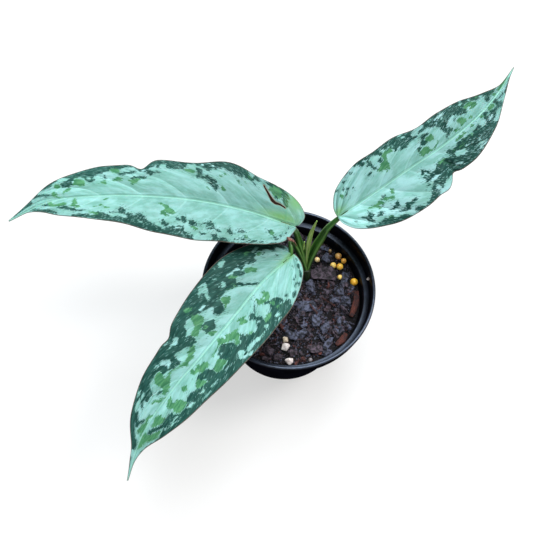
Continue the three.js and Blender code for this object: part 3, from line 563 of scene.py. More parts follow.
silver 40,14 43,16 44,18 42,17
silver 46,13 49,16 50,17 47,15
silver 51,15 55,18 54,19 50,16
dark 43,17 45,17 46,18 44,19
dark 47,8 50,9 51,10 49,11 46,12 45,11 47,10
green 57,9 58,6 60,7 61,8 60,11 59,13 57,12
green 62,7 64,7 65,8 63,8
dark 46,24 48,25 51,26 53,24 55,24 58,23 59,25 58,26 58,28 57,29 55,28 52,28 49,26 47,25
dark 20,25 23,27 26,29 29,30 33,30 36,30 39,30 40,31 42,32 44,31 47,31 48,32 47,34 47,35 49,36 54,37 58,38
  60,40 62,44 50,44 40,42 30,37 20,31
silver 48,33 52,34 56,35 60,36 60,37 54,36 49,35
green 43,31 47,32 48,33 44,33
dark 51,32 55,32 58,33 61,32 63,30 65,30 66,31 68,31 72,31 75,31 75,33 72,34 71,35 69,35 68,34 65,35 65,36
  63,38 61,37 58,36 56,35 56,34 53,33
dark 67,40 69,39 72,40 75,41 77,45 70,46 67,44
green 133,4 136,3 140,2 145,2 146,4 146,6 143,7 138,6 134,6
silver 141,5 145,5 145,7 141,7
green 153,1 155,1 156,3 154,5 152,4
green 164,3 166,1 169,1 170,2 169,4 166,5
green 176,4 177,2 179,1 182,1 185,1 187,3 186,5 182,6 178,5
green 126,11 130,12 134,11 137,13 135,14 131,13 128,12
silver 125,14 128,13 131,14 134,16 135,19 134,21 131,21 128,20 125,19 124,18
silver 135,15 138,14 139,16 136,16
green 146,8 148,8 149,10 147,11
silver 147,19 149,18 150,20 147,20
silver 141,23 145,22 150,22 154,23 153,24 146,24
silver 141,26 146,25 152,25 152,26 144,27
silver 117,24 120,23 124,25 126,28 122,26
silver 168,10 170,9 174,9 175,10 172,11 168,11
silver 169,6 172,6 174,7 171,7
silver 172,15 177,13 181,11 185,10 188,10 185,12 180,14 175,16
dark 194,4 197,3 201,3 205,3 204,5 198,5
green 203,-3 214,-3 226,-1 226,1 214,1 204,0
dark 204,4 212,3 226,1 226,5 206,8
dark 206,-6 216,-4 228,-1 228,-5 208,-9
""",
}

# The healed tear on the left blade, and creases on all blades, as places along and across.
TEAR = [(6.8, 7.5, 0.45), (10, 8.1, 0.55), (12.3, 7.9, 0.75), (14, 8.7, 0.85), (15.6, 10.4, 0.7),
        (17.3, 12.7, 0.6), (19.4, 15.6, 0.35)]
CREASES = {
    "left": [[(5.2, 1.0), (6.4, 9.0), (9.0, 13.6), (12.5, 17.6)]],
    "front": [[(25.4, 0.6), (31, 6.2), (37, 10.6)]],
    "right": [[(55.0, 5.5), (58.2, 9.6), (59.8, 13.4)]],
}


def tone(red, green, blue):
    """A colour read as red, green and blue from 0 to 255, for a shader's socket."""
    shares = [value / 255 for value in (red, green, blue)]
    linear = [s / 12.92 if s <= 0.04045 else ((s + 0.055) / 1.055) ** 2.4 for s in shares]
    return (*linear, 1.0)


# Curves

def curve_at(points, at):
    """Places and directions on a smooth curve through points, at shares from 0 to 1 of its spans."""
    points = np.array(points, float)
    before = 2 * points[0] - points[1]
    after = 2 * points[-1] - points[-2]
    padded = np.vstack([before, points, after])
    spot = np.clip(np.asarray(at, float), 0, 1) * (len(points) - 1)
    i = np.minimum(spot.astype(int), len(points) - 2)
    t = (spot - i)[:, None]
    a, b, c, d = (padded[i + k] for k in range(4))
    square = 2 * a - 5 * b + 4 * c - d
    cube = 3 * b - a - 3 * c + d
    place = 0.5 * (2 * b + (c - a) * t + square * t**2 + cube * t**3)
    along = 0.5 * ((c - a) + 2 * square * t + 3 * cube * t**2)
    return place, along / np.linalg.norm(along, axis=1, keepdims=True)


def through(places, values, at):
    """A smooth curve of numbers through values at uneven places."""
    places = np.asarray(places, float)
    values = np.asarray(values, float)
    last = len(places) - 1
    ends = np.arange(len(places))
    low = np.maximum(ends - 1, 0)
    high = np.minimum(ends + 1, last)
    slopes = (values[high] - values[low]) / (places[high] - places[low])
    i = np.clip(np.searchsorted(places, at, side="left") - 1, 0, last - 1)
    step = places[i + 1] - places[i]
    t = (at - places[i]) / step
    rise = values[i + 1] - values[i]
    start = slopes[i] * step
    end = slopes[i + 1] * step
    return values[i] + t * (start + t * (3 * rise - 2 * start - end + t * (start + end - 2 * rise)))


def evenly(values, at):
    return through(np.linspace(0, 1, len(values)), values, at)


def curve_length(points):
    places, _ = curve_at(points, np.linspace(0, 1, 400))
    return np.linalg.norm(np.diff(places, axis=0), axis=1).sum()


def stroke_reach(stroke, along, across):
    """How far inside a brush stroke each place lies, in millimetres; negative outside it."""
    reach = np.full(along.shape, -1e3)
    for (x0, y0, r0), (x1, y1, r1) in zip(stroke[:-1], stroke[1:]):
        dx, dy = x1 - x0, y1 - y0
        share = np.clip(((along - x0) * dx + (across - y0) * dy) / (dx * dx + dy * dy), 0, 1)
        distance = np.hypot(along - x0 - share * dx, across - y0 - share * dy)
        reach = np.maximum(reach, r0 + share * (r1 - r0) - distance)
    return reach


def patch_list(text):
    """A blade's markings in their order, each one a tone and its corners in millimetres."""
    patches = []
    for word in text.split():
        if "," in word:
            patches[-1][1].append([float(part) / 2 for part in word.split(",")])
        else:
            patches.append((word, []))
    return patches


def patch_reach(corners, along, across):
    """How far inside a closed outline each place lies, in millimetres; negative outside it."""
    nearest = np.full(along.shape, 1e6)
    inside = np.zeros(along.shape, bool)
    for (x0, y0), (x1, y1) in zip(corners, corners[1:] + corners[:1]):
        dx, dy = x1 - x0, y1 - y0
        share = np.clip(((along - x0) * dx + (across - y0) * dy) / (dx * dx + dy * dy), 0, 1)
        gap = (along - x0 - share * dx) ** 2 + (across - y0 - share * dy) ** 2
        nearest = np.minimum(nearest, gap)
        if dy:
            crossing = x0 + (across - y0) * dx / dy
            inside ^= ((y0 > across) != (y1 > across)) & (along < crossing)
    return np.where(inside, np.sqrt(nearest), -np.sqrt(nearest))


# Pieces

def new_piece(name, points, faces):
    """A smooth-shaded mesh object from places in millimetres."""
    mesh = bpy.data.meshes.new(name)
    mesh.from_pydata((np.asarray(points) * MM).tolist(), [], faces)
    mesh.validate()
    mesh.shade_smooth()
    piece = bpy.data.objects.new(name, mesh)
    scene.collection.objects.link(piece)
    return piece


def note_values(piece, name, values):
    """Keeps one number for each point of a piece, for its material."""
    layer = piece.data.attributes.new(name, "FLOAT", "POINT")
    layer.data.foreach_set("value", np.asarray(values, np.float32).ravel())


def note_places(piece, name, places):
    """Keeps one place for each point of a piece, for its material."""
    layer = piece.data.attributes.new(name, "FLOAT_VECTOR", "POINT")
    layer.data.foreach_set("vector", np.asarray(places, np.float32).ravel())


def finish_piece(piece, node, material):
    """Gives a piece its material and its body, and hides the node that it stands for."""
    piece.data.materials.clear()
    piece.data.materials.append(material)
    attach(piece, BODY)
    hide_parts(node)


def apply_modifiers(piece):
    """Turns a piece with live modifiers or a geometry tree into a plain mesh."""
    bpy.context.view_layer.update()
    graph = bpy.context.evaluated_depsgraph_get()
    result = bpy.data.meshes.new_from_object(piece.evaluated_get(graph))
    piece.modifiers.clear()
    piece.data = result


def run_tree(piece, tree, values):
    """Runs a geometry tree on a piece, with its named inputs set, and keeps the plain mesh."""
    modifier = piece.modifiers.new(tree.name, "NODES")
    modifier.node_group = tree
    for item in tree.interface.items_tree:
        if item.item_type == "SOCKET" and item.in_out == "INPUT" and item.name in values:
            modifier[item.identifier] = values[item.name]
    apply_modifiers(piece)


def turned(profile, sides):
    """A closed profile of radius and height turned about the Z axis; radius 0 makes a pole."""
    points = []
    faces = []
    rings = []
    angles = 2 * math.pi * np.arange(sides) / sides
    for radius, height in profile:
        first = len(points)
        if radius == 0:
            points.append((0, 0, height))
            rings.append([first] * sides)
        else:
            points.extend((radius * math.cos(a), radius * math.sin(a), height) for a in angles)
            rings.append(list(range(first, first + sides)))
    for low, high in zip(rings[:-1], rings[1:]):
        for j in range(sides):
            k = (j + 1) % sides
            corners = [low[j], low[k], high[k], high[j]]
            face = [c for n, c in enumerate(corners) if c not in corners[:n]]
            faces.append(face)
    return points, faces


def lofted(rings):
    """Rings of equal count joined by walls, with a fan over each end."""
    rings = np.asarray(rings)
    count = rings.shape[1]
    points = rings.reshape(-1, 3).tolist()
    faces = []
    for i in range(len(rings) - 1):
        for j in range(count):
            a = i * count + j
            b = i * count + (j + 1) % count
            faces.append((a, b, b + count, a + count))
    start = len(points)
    points.append(rings[0].mean(axis=0).tolist())
    points.append(rings[-1].mean(axis=0).tolist())
    top = (len(rings) - 1) * count
    for j in range(count):
        k = (j + 1) % count
        faces.append((start, k, j))
        faces.append((start + 1, top + j, top + k))
    return points, faces


def path_frames(path, steps, first_side):
    """Places and two sideways directions along a path, turned as little as can be."""
    share = np.linspace(0, 1, 400)
    dense, _ = curve_at(path, share)
    run = np.concatenate([[0], np.cumsum(np.linalg.norm(np.diff(dense, axis=0), axis=1))])
    at = np.interp(np.linspace(0, run[-1], steps + 1), run, share)
    places, along = curve_at(path, at)
    side = np.array(first_side, float)
    sides = []
    for direction in along:
        side = side - direction * side.dot(direction)
        side = side / np.linalg.norm(side)
        sides.append(side)
    sides = np.array(sides)
    return places, along, sides, np.cross(along, sides)


def level_side(along):
    """The level direction to the right of each direction in along."""
    right = np.cross(along, (0, 0, 1))
    return right / np.linalg.norm(right, axis=1, keepdims=True)


def soil_height(x, y):
    lumps = np.sin(x / 5 + 1) * np.cos(y / 6) + 0.6 * np.sin(x / 3.1 - y / 2.7)
    return SOIL_TOP + SOIL_RELIEF * lumps


def inner_radius(z):
    low = POT["foot"] - POT["wall"]
    ledge = POT["height"] - POT["band"]
    return low + (POT["ledge"] - low) * (z - POT["floor"]) / (ledge - POT["floor"])


# Nodes

def put(tree, kind, inputs=None, **settings):
    """Adds a node; inputs are numbers, colours or other nodes' outputs, by name or by number."""
    node = tree.nodes.new(kind)
    for name, value in settings.items():
        setattr(node, name, value)
    for key, value in (inputs or {}).items():
        socket = node.inputs[key]
        if isinstance(value, bpy.types.NodeSocket):
            tree.links.new(value, socket)
        else:
            socket.default_value = value
    return node


def calc(tree, operation, first, second=0.0, third=0.0):
    inputs = {0: first, 1: second, 2: third}
    return put(tree, "ShaderNodeMath", inputs, operation=operation).outputs[0]


def blend_colours(tree, share, first, second):
    inputs = {"Factor": share, 6: first, 7: second}
    return put(tree, "ShaderNodeMix", inputs, data_type="RGBA").outputs[2]


def ramp(tree, value, low, high, start=0.0, end=1.0):
    """A smooth step from start to end while value goes from low to high."""
    inputs = {"Value": value, "From Min": low, "From Max": high, "To Min": start, "To Max": end}
    node = put(tree, "ShaderNodeMapRange", inputs, interpolation_type="SMOOTHSTEP")
    return node.outputs["Result"]


def cloud(tree, vector, scale, detail=3.0, roughness=0.5):
    """Soft noise from 0 to 1."""
    inputs = {"Vector": vector, "Scale": scale, "Detail": detail, "Roughness": roughness}
    return put(tree, "ShaderNodeTexNoise", inputs).outputs[0]


def stretched(tree, vector, x, y, z):
    inputs = {0: vector, 1: (x, y, z)}
    return put(tree, "ShaderNodeVectorMath", inputs, operation="MULTIPLY").outputs[0]


def attribute(tree, name, output="Fac"):
    return put(tree, "ShaderNodeAttribute", attribute_name=name).outputs[output]


def object_places(tree):
    """Object coordinates in millimetres."""
    place = put(tree, "ShaderNodeTexCoord").outputs["Object"]
    return stretched(tree, place, 1000, 1000, 1000)


def new_group(name, inputs, outputs):
    """A shader node group with named sockets; returns the group and its two end nodes."""
    group = bpy.data.node_groups.new(name, "ShaderNodeTree")
    for label, kind, value in inputs:
        socket = group.interface.new_socket(label, in_out="INPUT", socket_type="NodeSocket" + kind)
        if value is not None:
            socket.default_value = value
    for label, kind in outputs:
        group.interface.new_socket(label, in_out="OUTPUT", socket_type="NodeSocket" + kind)
    return group, group.nodes.new("NodeGroupInput"), group.nodes.new("NodeGroupOutput")


def use_group(tree, group, **inputs):
    node = tree.nodes.new("ShaderNodeGroup")
    node.node_tree = group
    for name, value in inputs.items():
        socket = node.inputs[name.replace("_", " ")]
        if isinstance(value, bpy.types.NodeSocket):
            tree.links.new(value, socket)
        else:
            socket.default_value = value
    return node


def new_material(name):
    """An empty material with a Principled shader; returns the material, its tree and the shader."""
    material = bpy.data.materials.new(name)
    material.use_nodes = True
    tree = material.node_tree
    tree.nodes.clear()
    shader = tree.nodes.new("ShaderNodeBsdfPrincipled")
    output = tree.nodes.new("ShaderNodeOutputMaterial")
    tree.links.new(shader.outputs[0], output.inputs["Surface"])
    return material, tree, shader


def set_finish(tree, shader, **inputs):
    for name, value in inputs.items():
        socket = shader.inputs[name.replace("_", " ")]
        if isinstance(value, bpy.types.NodeSocket):
            tree.links.new(value, socket)
        else:
            socket.default_value = value


def bumped(tree, height, distance, strength=1.0):
    """A normal from a height of 0 to 1 that stands for distance in millimetres."""
    inputs = {"Height": height, "Distance": distance * MM, "Strength": strength}
    return put(tree, "ShaderNodeBump", inputs).outputs["Normal"]


def mottle_group():
    """Two colours worn into each other in soft patches, with a fine grain on top."""
    group, start, end = new_group(
        "mottled tone",
        [("Vector", "Vector", None), ("First", "Color", tone(120, 120, 120)),
         ("Second", "Color", tone(80, 80, 80)), ("Patch Scale", "Float", 0.3),
         ("Grain Scale", "Float", 3.0), ("Grain", "Float", 0.3)],
        [("Color", "Color")])
    patches = cloud(group, start.outputs["Vector"], start.outputs["Patch Scale"], 4.0, 0.6)
    mask = ramp(group, patches, 0.38, 0.62)
    base = blend_colours(group, mask, start.outputs["First"], start.outputs["Second"])
    grain = cloud(group, start.outputs["Vector"], start.outputs["Grain Scale"], 3.0, 0.7)
    shade = calc(group, "MULTIPLY", calc(group, "SUBTRACT", grain, 0.5), start.outputs["Grain"])
    level = calc(group, "ADD", shade, 1.0)
    graded = put(group, "ShaderNodeVectorMath", {0: base, 3: level}, operation="SCALE").outputs[0]
    group.links.new(graded, end.inputs["Color"])
    return group


def dust_and_highlight_group():
    """Dust and painted highlight on the faces that look up, broken into specks and smears."""
    group, start, end = new_group(
        "dusted with painted highlight",
        [("Vector", "Vector", None), ("Amount", "Float", 0.3), ("Scale", "Float", 0.2)],
        [("Mask", "Float")])
    normal = put(group, "ShaderNodeNewGeometry").outputs["Normal"]
    upward = ramp(group, put(group, "ShaderNodeSeparateXYZ", {0: normal}).outputs[2], 0.2, 0.95)
    smears = cloud(group, start.outputs["Vector"], start.outputs["Scale"], 5.0, 0.65)
    smears = ramp(group, smears, 0.42, 0.72)
    mask = calc(group, "MULTIPLY", calc(group, "MULTIPLY", upward, smears), start.outputs["Amount"])
    group.links.new(mask, end.inputs["Mask"])
    return group


def blocky_edge_group():
    """Uneven reach in millimetres for the marking edges: small cells drawn out along the veins."""
    group, start, end = new_group(
        "blocky edge",
        [("Vein Place", "Vector", None), ("Cells", "Float", 1.0), ("Waver", "Float", 1.0)],
        [("Reach", "Float")])
    places = start.outputs["Vein Place"]
    cells = put(group, "ShaderNodeTexVoronoi",
                {"Vector": stretched(group, places, 1.35, 0.85, 1.0), "Scale": 1.0}).outputs["Color"]
    drawn = put(group, "ShaderNodeSeparateColor", {0: cells}).outputs[0]
    block = calc(group, "MULTIPLY", calc(group, "SUBTRACT", drawn, 0.5), start.outputs["Cells"])
    small = put(group, "ShaderNodeTexVoronoi",
                {"Vector": stretched(group, places, 3.4, 1.7, 1.0), "Scale": 1.0}).outputs["Color"]
    fine = put(group, "ShaderNodeSeparateColor", {0: small}).outputs[1]
    chip = calc(group, "MULTIPLY", calc(group, "SUBTRACT", fine, 0.5), 0.3)
    wave = cloud(group, stretched(group, places, 0.5, 0.4, 1.0), 1.0, 2.0, 0.5)
    waver = calc(group, "MULTIPLY", calc(group, "SUBTRACT", wave, 0.5), start.outputs["Waver"])
    reach = calc(group, "ADD", calc(group, "ADD", block, chip), waver)
    group.links.new(reach, end.inputs["Reach"])
    return group


def speckle_group():
    """Specks drawn out along the veins: a share of the small cells, each one speck."""
    group, start, end = new_group(
        "vein speckle",
        [("Vein Place", "Vector", None), ("Share", "Float", 0.1)],
        [("Mask", "Float")])
    cells = put(group, "ShaderNodeTexVoronoi",
                {"Vector": stretched(group, start.outputs["Vein Place"], 2.6, 0.8, 1.0), "Scale": 1.0})
    drawn = put(group, "ShaderNodeSeparateColor", {0: cells.outputs["Color"]}).outputs[2]
    chosen = calc(group, "LESS_THAN", drawn, start.outputs["Share"])
    body = ramp(group, cells.outputs["Distance"], 0.55, 0.3)
    group.links.new(calc(group, "MULTIPLY", chosen, body), end.inputs["Mask"])
    return group


mottled_tone = mottle_group()
dust_and_painted_highlight = dust_and_highlight_group()
blocky_edge = blocky_edge_group()
vein_speckle = speckle_group()


# Materials

SILVER_LIGHT = tone(160, 204, 204)
SILVER_DEEP = tone(124, 174, 164)
SAGE_LIGHT = tone(108, 156, 146)
SAGE_DEEP = tone(84, 130, 116)
GREEN_LIGHT = tone(78, 132, 92)
GREEN_DEEP = tone(54, 106, 74)
DARK_LIGHT = tone(40, 78, 70)
DARK_DEEP = tone(26, 60, 54)


def leaf_material():
    material, tree, shader = new_material("three-tone leaf")
    veins = attribute(tree, "vein_place", "Vector")
    edge = use_group(tree, blocky_edge, Vein_Place=veins, Cells=0.85, Waver=0.3).outputs["Reach"]
    dark_reach = attribute(tree, "dark_reach")
    dark = ramp(tree, calc(tree, "ADD", dark_reach, edge), -0.12, 0.12)
    green = ramp(tree, calc(tree, "ADD", attribute(tree, "green_reach"), edge), -0.12, 0.12)

    # small silver specks in the dark, and dark ones on the silver close to it
    shifted = put(tree, "ShaderNodeVectorMath", {0: veins, 1: (31.7, 12.3, 0.0)}).outputs[0]
    share = attribute(tree, "speckle")
    light_specks = use_group(tree, vein_speckle, Vein_Place=veins, Share=share).outputs["Mask"]
    near_dark = ramp(tree, dark_reach, -2.6, -0.2, 0.0, 0.16)
    dark_specks = use_group(tree, vein_speckle, Vein_Place=shifted, Share=near_dark).outputs["Mask"]
    dark = calc(tree, "MULTIPLY", dark, calc(tree, "MULTIPLY_ADD", light_specks, -0.8, 1.0))
    dark = calc(tree, "MAXIMUM", dark, calc(tree, "MULTIPLY", dark_specks, 0.8))

    silver = use_group(tree, mottled_tone, Vector=veins, First=SILVER_LIGHT, Second=SILVER_DEEP,
                       Patch_Scale=0.12, Grain_Scale=1.8, Grain=0.34).outputs["Color"]
    # a duller sage tone, partly the leaf's own and partly painted shade
    dull_and_shaded = use_group(tree, mottled_tone, Vector=veins, First=SAGE_DEEP, Second=SAGE_LIGHT,
                     Patch_Scale=0.2, Grain_Scale=1.8, Grain=0.3).outputs["Color"]
    silver = blend_colours(tree, attribute(tree, "sage"), silver, dull_and_shaded)
    middle = use_group(tree, mottled_tone, Vector=veins, First=GREEN_LIGHT, Second=GREEN_DEEP,
                       Patch_Scale=0.3, Grain_Scale=2.2, Grain=0.3).outputs["Color"]
    deep = use_group(tree, mottled_tone, Vector=veins, First=DARK_LIGHT, Second=DARK_DEEP,
                     Patch_Scale=0.3, Grain_Scale=2.4, Grain=0.4).outputs["Color"]
    colour = blend_colours(tree, green, silver, middle)

    # side veins show pale on the silver, hardly on the green and not on the dark
    side_vein = ramp(tree, attribute(tree, "vein_gap"), 0.6, 0.1)
    on_silver = calc(tree, "MULTIPLY_ADD", green, -0.12, 0.18)
    colour = blend_colours(tree, calc(tree, "MULTIPLY", side_vein, on_silver), colour, tone(178, 222, 216))
    colour = blend_colours(tree, dark, colour, deep)

    # level is painted light and shade: each half's tones made lighter or darker along the blade
    level = attribute(tree, "level")
    colour = put(tree, "ShaderNodeVectorMath", {0: colour, 3: level}, operation="SCALE").outputs[0]

    # midrib: a pale channel between two thin darker lines, yellower towards the stalk
    rib_gap = attribute(tree, "rib_gap")
    channel = ramp(tree, rib_gap, 0.75, 0.4)
    lines = calc(tree, "MULTIPLY", ramp(tree, rib_gap, 1.25, 1.0), ramp(tree, rib_gap, 0.75, 0.95))
    colour = blend_colours(tree, calc(tree, "MULTIPLY", channel, 0.6), colour, tone(140, 190, 172))
    colour = blend_colours(tree, calc(tree, "MULTIPLY", lines, 0.35), colour, tone(72, 122, 104))
    warm = attribute(tree, "warm_base")
    colour = blend_colours(tree, warm, colour, tone(92, 138, 72))

    # healed tear, painted shade in the creases, pale rim of the blade and the dull back
    tear = attribute(tree, "tear_reach")
    tan = ramp(tree, tear, -0.45, -0.1)
    colour = blend_colours(tree, calc(tree, "MULTIPLY", tan, 0.6), colour, tone(124, 92, 66))
    colour = blend_colours(tree, ramp(tree, tear, -0.1, 0.15), colour, tone(26, 9, 5))
    # the creases are painted a darker green: painted shade in the folds
    crease = ramp(tree, attribute(tree, "crease_gap"), 0.6, 0.1)
    colour = blend_colours(tree, calc(tree, "MULTIPLY", crease, 0.25), colour, tone(66, 124, 92))
    rim = ramp(tree, attribute(tree, "rim_gap"), 0.45, 0.2)
    colour = blend_colours(tree, calc(tree, "MULTIPLY", rim, 0.75), colour, tone(92, 74, 66))
    back = attribute(tree, "back")
    colour = blend_colours(tree, calc(tree, "MULTIPLY", back, 0.62), colour, tone(104, 146, 124))

    fine = put(tree, "ShaderNodeTexWave", {"Vector": stretched(tree, veins, 1.0, 0.02, 1.0), "Scale": 0.12,
                                           "Distortion": 1.6, "Detail": 2.0, "Detail Scale": 1.5})
    grain = cloud(tree, veins, 3.0, 4.0, 0.6)
    height = calc(tree, "ADD", calc(tree, "MULTIPLY", fine.outputs["Fac"], 0.3),
                  calc(tree, "MULTIPLY", grain, 0.5))
    rough = ramp(tree, cloud(tree, veins, 0.4, 3.0, 0.6), 0.3, 0.7, 0.38, 0.5)
    set_finish(tree, shader, Base_Color=colour, Roughness=rough, Normal=bumped(tree, height, 0.07, 0.8))
    set_finish(tree, shader, Specular_IOR_Level=0.04, Subsurface_Weight=0.06, Subsurface_Scale=0.001)
    return material


def stalk_material(name, dark_tone, light_tone, edge_tone, roughness):
    """Smooth green skin with lengthwise streaks and pale edges where the sheath opens."""
    material, tree, shader = new_material(name)
    place = attribute(tree, "stalk_place", "Vector")
    streaks = cloud(tree, stretched(tree, place, 3.0, 0.12, 3.0), 1.0, 3.0, 0.6)
    colour = blend_colours(tree, ramp(tree, streaks, 0.3, 0.7), dark_tone, light_tone)
    edge = attribute(tree, "sheath_edge")
    colour = blend_colours(tree, edge, colour, edge_tone)
    height = cloud(tree, stretched(tree, place, 6.0, 0.2, 6.0), 1.0, 3.0, 0.5)
    set_finish(tree, shader, Base_Color=colour, Normal=bumped(tree, height, 0.08, 0.8))
    set_finish(tree, shader, Roughness=roughness, Specular_IOR_Level=0.4, Subsurface_Weight=0.05,
               Subsurface_Scale=0.001)
    return material


def plastic_material():
    """Black plastic: dull walls; only the rim, lip and ledge have a sheen, dust and a painted bluish
    highlight.
    """
    material, tree, shader = new_material("black pot plastic")
    place = object_places(tree)
    colour = use_group(tree, mottled_tone, Vector=place, First=tone(7, 7, 12), Second=tone(12, 12, 19),
                       Patch_Scale=0.08, Grain_Scale=1.4, Grain=0.3).outputs["Color"]
    sheen = attribute(tree, "sheen")
    dust_and_highlight = use_group(tree, dust_and_painted_highlight, Vector=place, Amount=0.2, Scale=0.35).outputs["Mask"]
    # a pale bluish tone where the plastic shines: partly dust, partly painted highlight
    colour = blend_colours(tree, calc(tree, "MULTIPLY", dust_and_highlight, sheen), colour, tone(84, 92, 124))
    scuff = cloud(tree, stretched(tree, place, 1.0, 1.0, 0.15), 1.2, 5.0, 0.7)
    rough = ramp(tree, scuff, 0.3, 0.75, 0.26, 0.42)
    gloss = calc(tree, "MULTIPLY", sheen, 0.5)
    orange_peel = cloud(tree, place, 0.9, 2.0, 0.5)
    set_finish(tree, shader, Base_Color=colour, Roughness=rough, Normal=bumped(tree, orange_peel, 0.05, 0.6))
    set_finish(tree, shader, Specular_IOR_Level=gloss, Specular_Tint=(0.66, 0.78, 1.0, 1))
    return material


def chip_material():
    """Bark and charcoal: the tone of a chip is kept in its mesh."""
    material, tree, shader = new_material("bark and charcoal chips")
    place = object_places(tree)
    kind = attribute(tree, "chip_tone")
    charcoal = use_group(tree, mottled_tone, Vector=place, First=tone(16, 16, 23), Second=tone(88, 92, 114),
                         Patch_Scale=0.6, Grain_Scale=2.6, Grain=1.3).outputs["Color"]
    bark = use_group(tree, mottled_tone, Vector=place, First=tone(20, 15, 19), Second=tone(86, 72, 84),
                     Patch_Scale=0.6, Grain_Scale=2.4, Grain=1.3).outputs["Color"]
    red = use_group(tree, mottled_tone, Vector=place, First=tone(34, 14, 13), Second=tone(96, 50, 44),
                    Patch_Scale=0.5, Grain_Scale=2.6, Grain=0.9).outputs["Color"]
    colour = blend_colours(tree, ramp(tree, kind, 0.3, 0.42), charcoal, bark)
    colour = blend_colours(tree, ramp(tree, kind, 0.8, 0.9), colour, red)
    fibres = cloud(tree, stretched(tree, place, 0.5, 2.4, 2.4), 1.0, 4.0, 0.7)
    pits = cloud(tree, place, 1.3, 5.0, 0.7)
    height = calc(tree, "ADD", calc(tree, "MULTIPLY", fibres, 0.5), pits)
    rough = ramp(tree, pits, 0.35, 0.7, 0.45, 0.8)
    set_finish(tree, shader, Base_Color=colour, Roughness=rough, Normal=bumped(tree, height, 0.9, 1.0))
    set_finish(tree, shader, Specular_IOR_Level=0.5)
    return material


def dark_soil_and_gap_shade_material():
    material, tree, shader = new_material("dark crumbly soil with painted gap shade")
    place = object_places(tree)
    # near-black: the soil's dark tone made darker still as painted shade in the gaps between the chips
    colour = use_group(tree, mottled_tone, Vector=place, First=tone(3, 3, 4), Second=tone(16, 12, 15),
                       Patch_Scale=0.4, Grain_Scale=2.6, Grain=0.9).outputs["Color"]
    height = cloud(tree, place, 0.9, 8.0, 0.75)
    set_finish(tree, shader, Base_Color=colour, Normal=bumped(tree, height, 1.2, 1.0))
    set_finish(tree, shader, Roughness=0.85, Specular_IOR_Level=0.3)
    return material


def bark_material():
    material, tree, shader = new_material("red bark strip")
    place = attribute(tree, "stalk_place", "Vector")
    streaks = cloud(tree, stretched(tree, place, 2.2, 0.35, 2.2), 1.0, 4.0, 0.7)
    colour = blend_colours(tree, ramp(tree, streaks, 0.3, 0.7), tone(44, 20, 18), tone(104, 54, 44))
    patches = cloud(tree, object_places(tree), 0.35, 3.0, 0.6)
    colour = blend_colours(tree, ramp(tree, patches, 0.45, 0.62, 0.0, 0.8), colour, tone(36, 28, 32))
    set_finish(tree, shader, Base_Color=colour, Normal=bumped(tree, streaks, 0.6, 1.0))
    set_finish(tree, shader, Roughness=0.78, Specular_IOR_Level=0.3)
    return material


def stone_material(name, first, second, pit_scale, pit_depth, roughness):
    """Dull stone with pits at their own scale."""
    material, tree, shader = new_material(name)
    place = object_places(tree)
    colour = use_group(tree, mottled_tone, Vector=place, First=first, Second=second,
                       Patch_Scale=0.7, Grain_Scale=4.0, Grain=0.35).outputs["Color"]
    cells = put(tree, "ShaderNodeTexVoronoi", {"Vector": place, "Scale": pit_scale})
    pores = cells.outputs["Distance"]
    pits = ramp(tree, pores, 0.1, 0.4)
    shaded = blend_colours(tree, ramp(tree, pores, 0.25, 0.1, 0.0, 0.35), colour, tone(90, 80, 76))
    set_finish(tree, shader, Base_Color=shaded, Normal=bumped(tree, pits, pit_depth, 0.8))
    set_finish(tree, shader, Roughness=roughness, Specular_IOR_Level=0.3)
    return material


def prill_material(name, light, deep):
    """Resin-coated ball: a smooth skin with faint darker freckles."""
    material, tree, shader = new_material(name)
    place = object_places(tree)
    colour = use_group(tree, mottled_tone, Vector=place, First=light, Second=deep,
                       Patch_Scale=0.5, Grain_Scale=3.0, Grain=0.2).outputs["Color"]
    freckles = cloud(tree, place, 2.6, 3.0, 0.6)
    colour = blend_colours(tree, ramp(tree, freckles, 0.6, 0.72, 0.0, 0.45), colour, deep)
    set_finish(tree, shader, Base_Color=colour, Normal=bumped(tree, freckles, 0.06, 0.6))
    set_finish(tree, shader, Roughness=0.34, Specular_IOR_Level=0.5, Subsurface_Weight=0.1,
               Subsurface_Scale=0.0006)
    return material


def papery_material():
    material, tree, shader = new_material("withered bract")
    place = attribute(tree, "stalk_place", "Vector")
    streaks = cloud(tree, stretched(tree, place, 4.0, 0.4, 4.0), 1.0, 4.0, 0.7)
    colour = blend_colours(tree, ramp(tree, streaks, 0.35, 0.65), tone(66, 38, 31), tone(140, 96, 82))
    set_finish(tree, shader, Base_Color=colour, Normal=bumped(tree, streaks, 0.3, 1.0))
    set_finish(tree, shader, Roughness=0.72, Specular_IOR_Level=0.3)
    return material


def root_material():
    material, tree, shader = new_material("fleshy root")
    place = object_places(tree)
    colour = use_group(tree, mottled_tone, Vector=place,
                       First=tone(196, 176, 140), Second=tone(150, 122, 88),
                       Patch_Scale=0.3, Grain_Scale=2.0, Grain=0.4).outputs["Color"]
    rings = cloud(tree, place, 1.4, 4.0, 0.6)
    set_finish(tree, shader, Base_Color=colour, Normal=bumped(tree, rings, 0.25, 0.9))
    set_finish(tree, shader, Roughness=0.7)
    return material


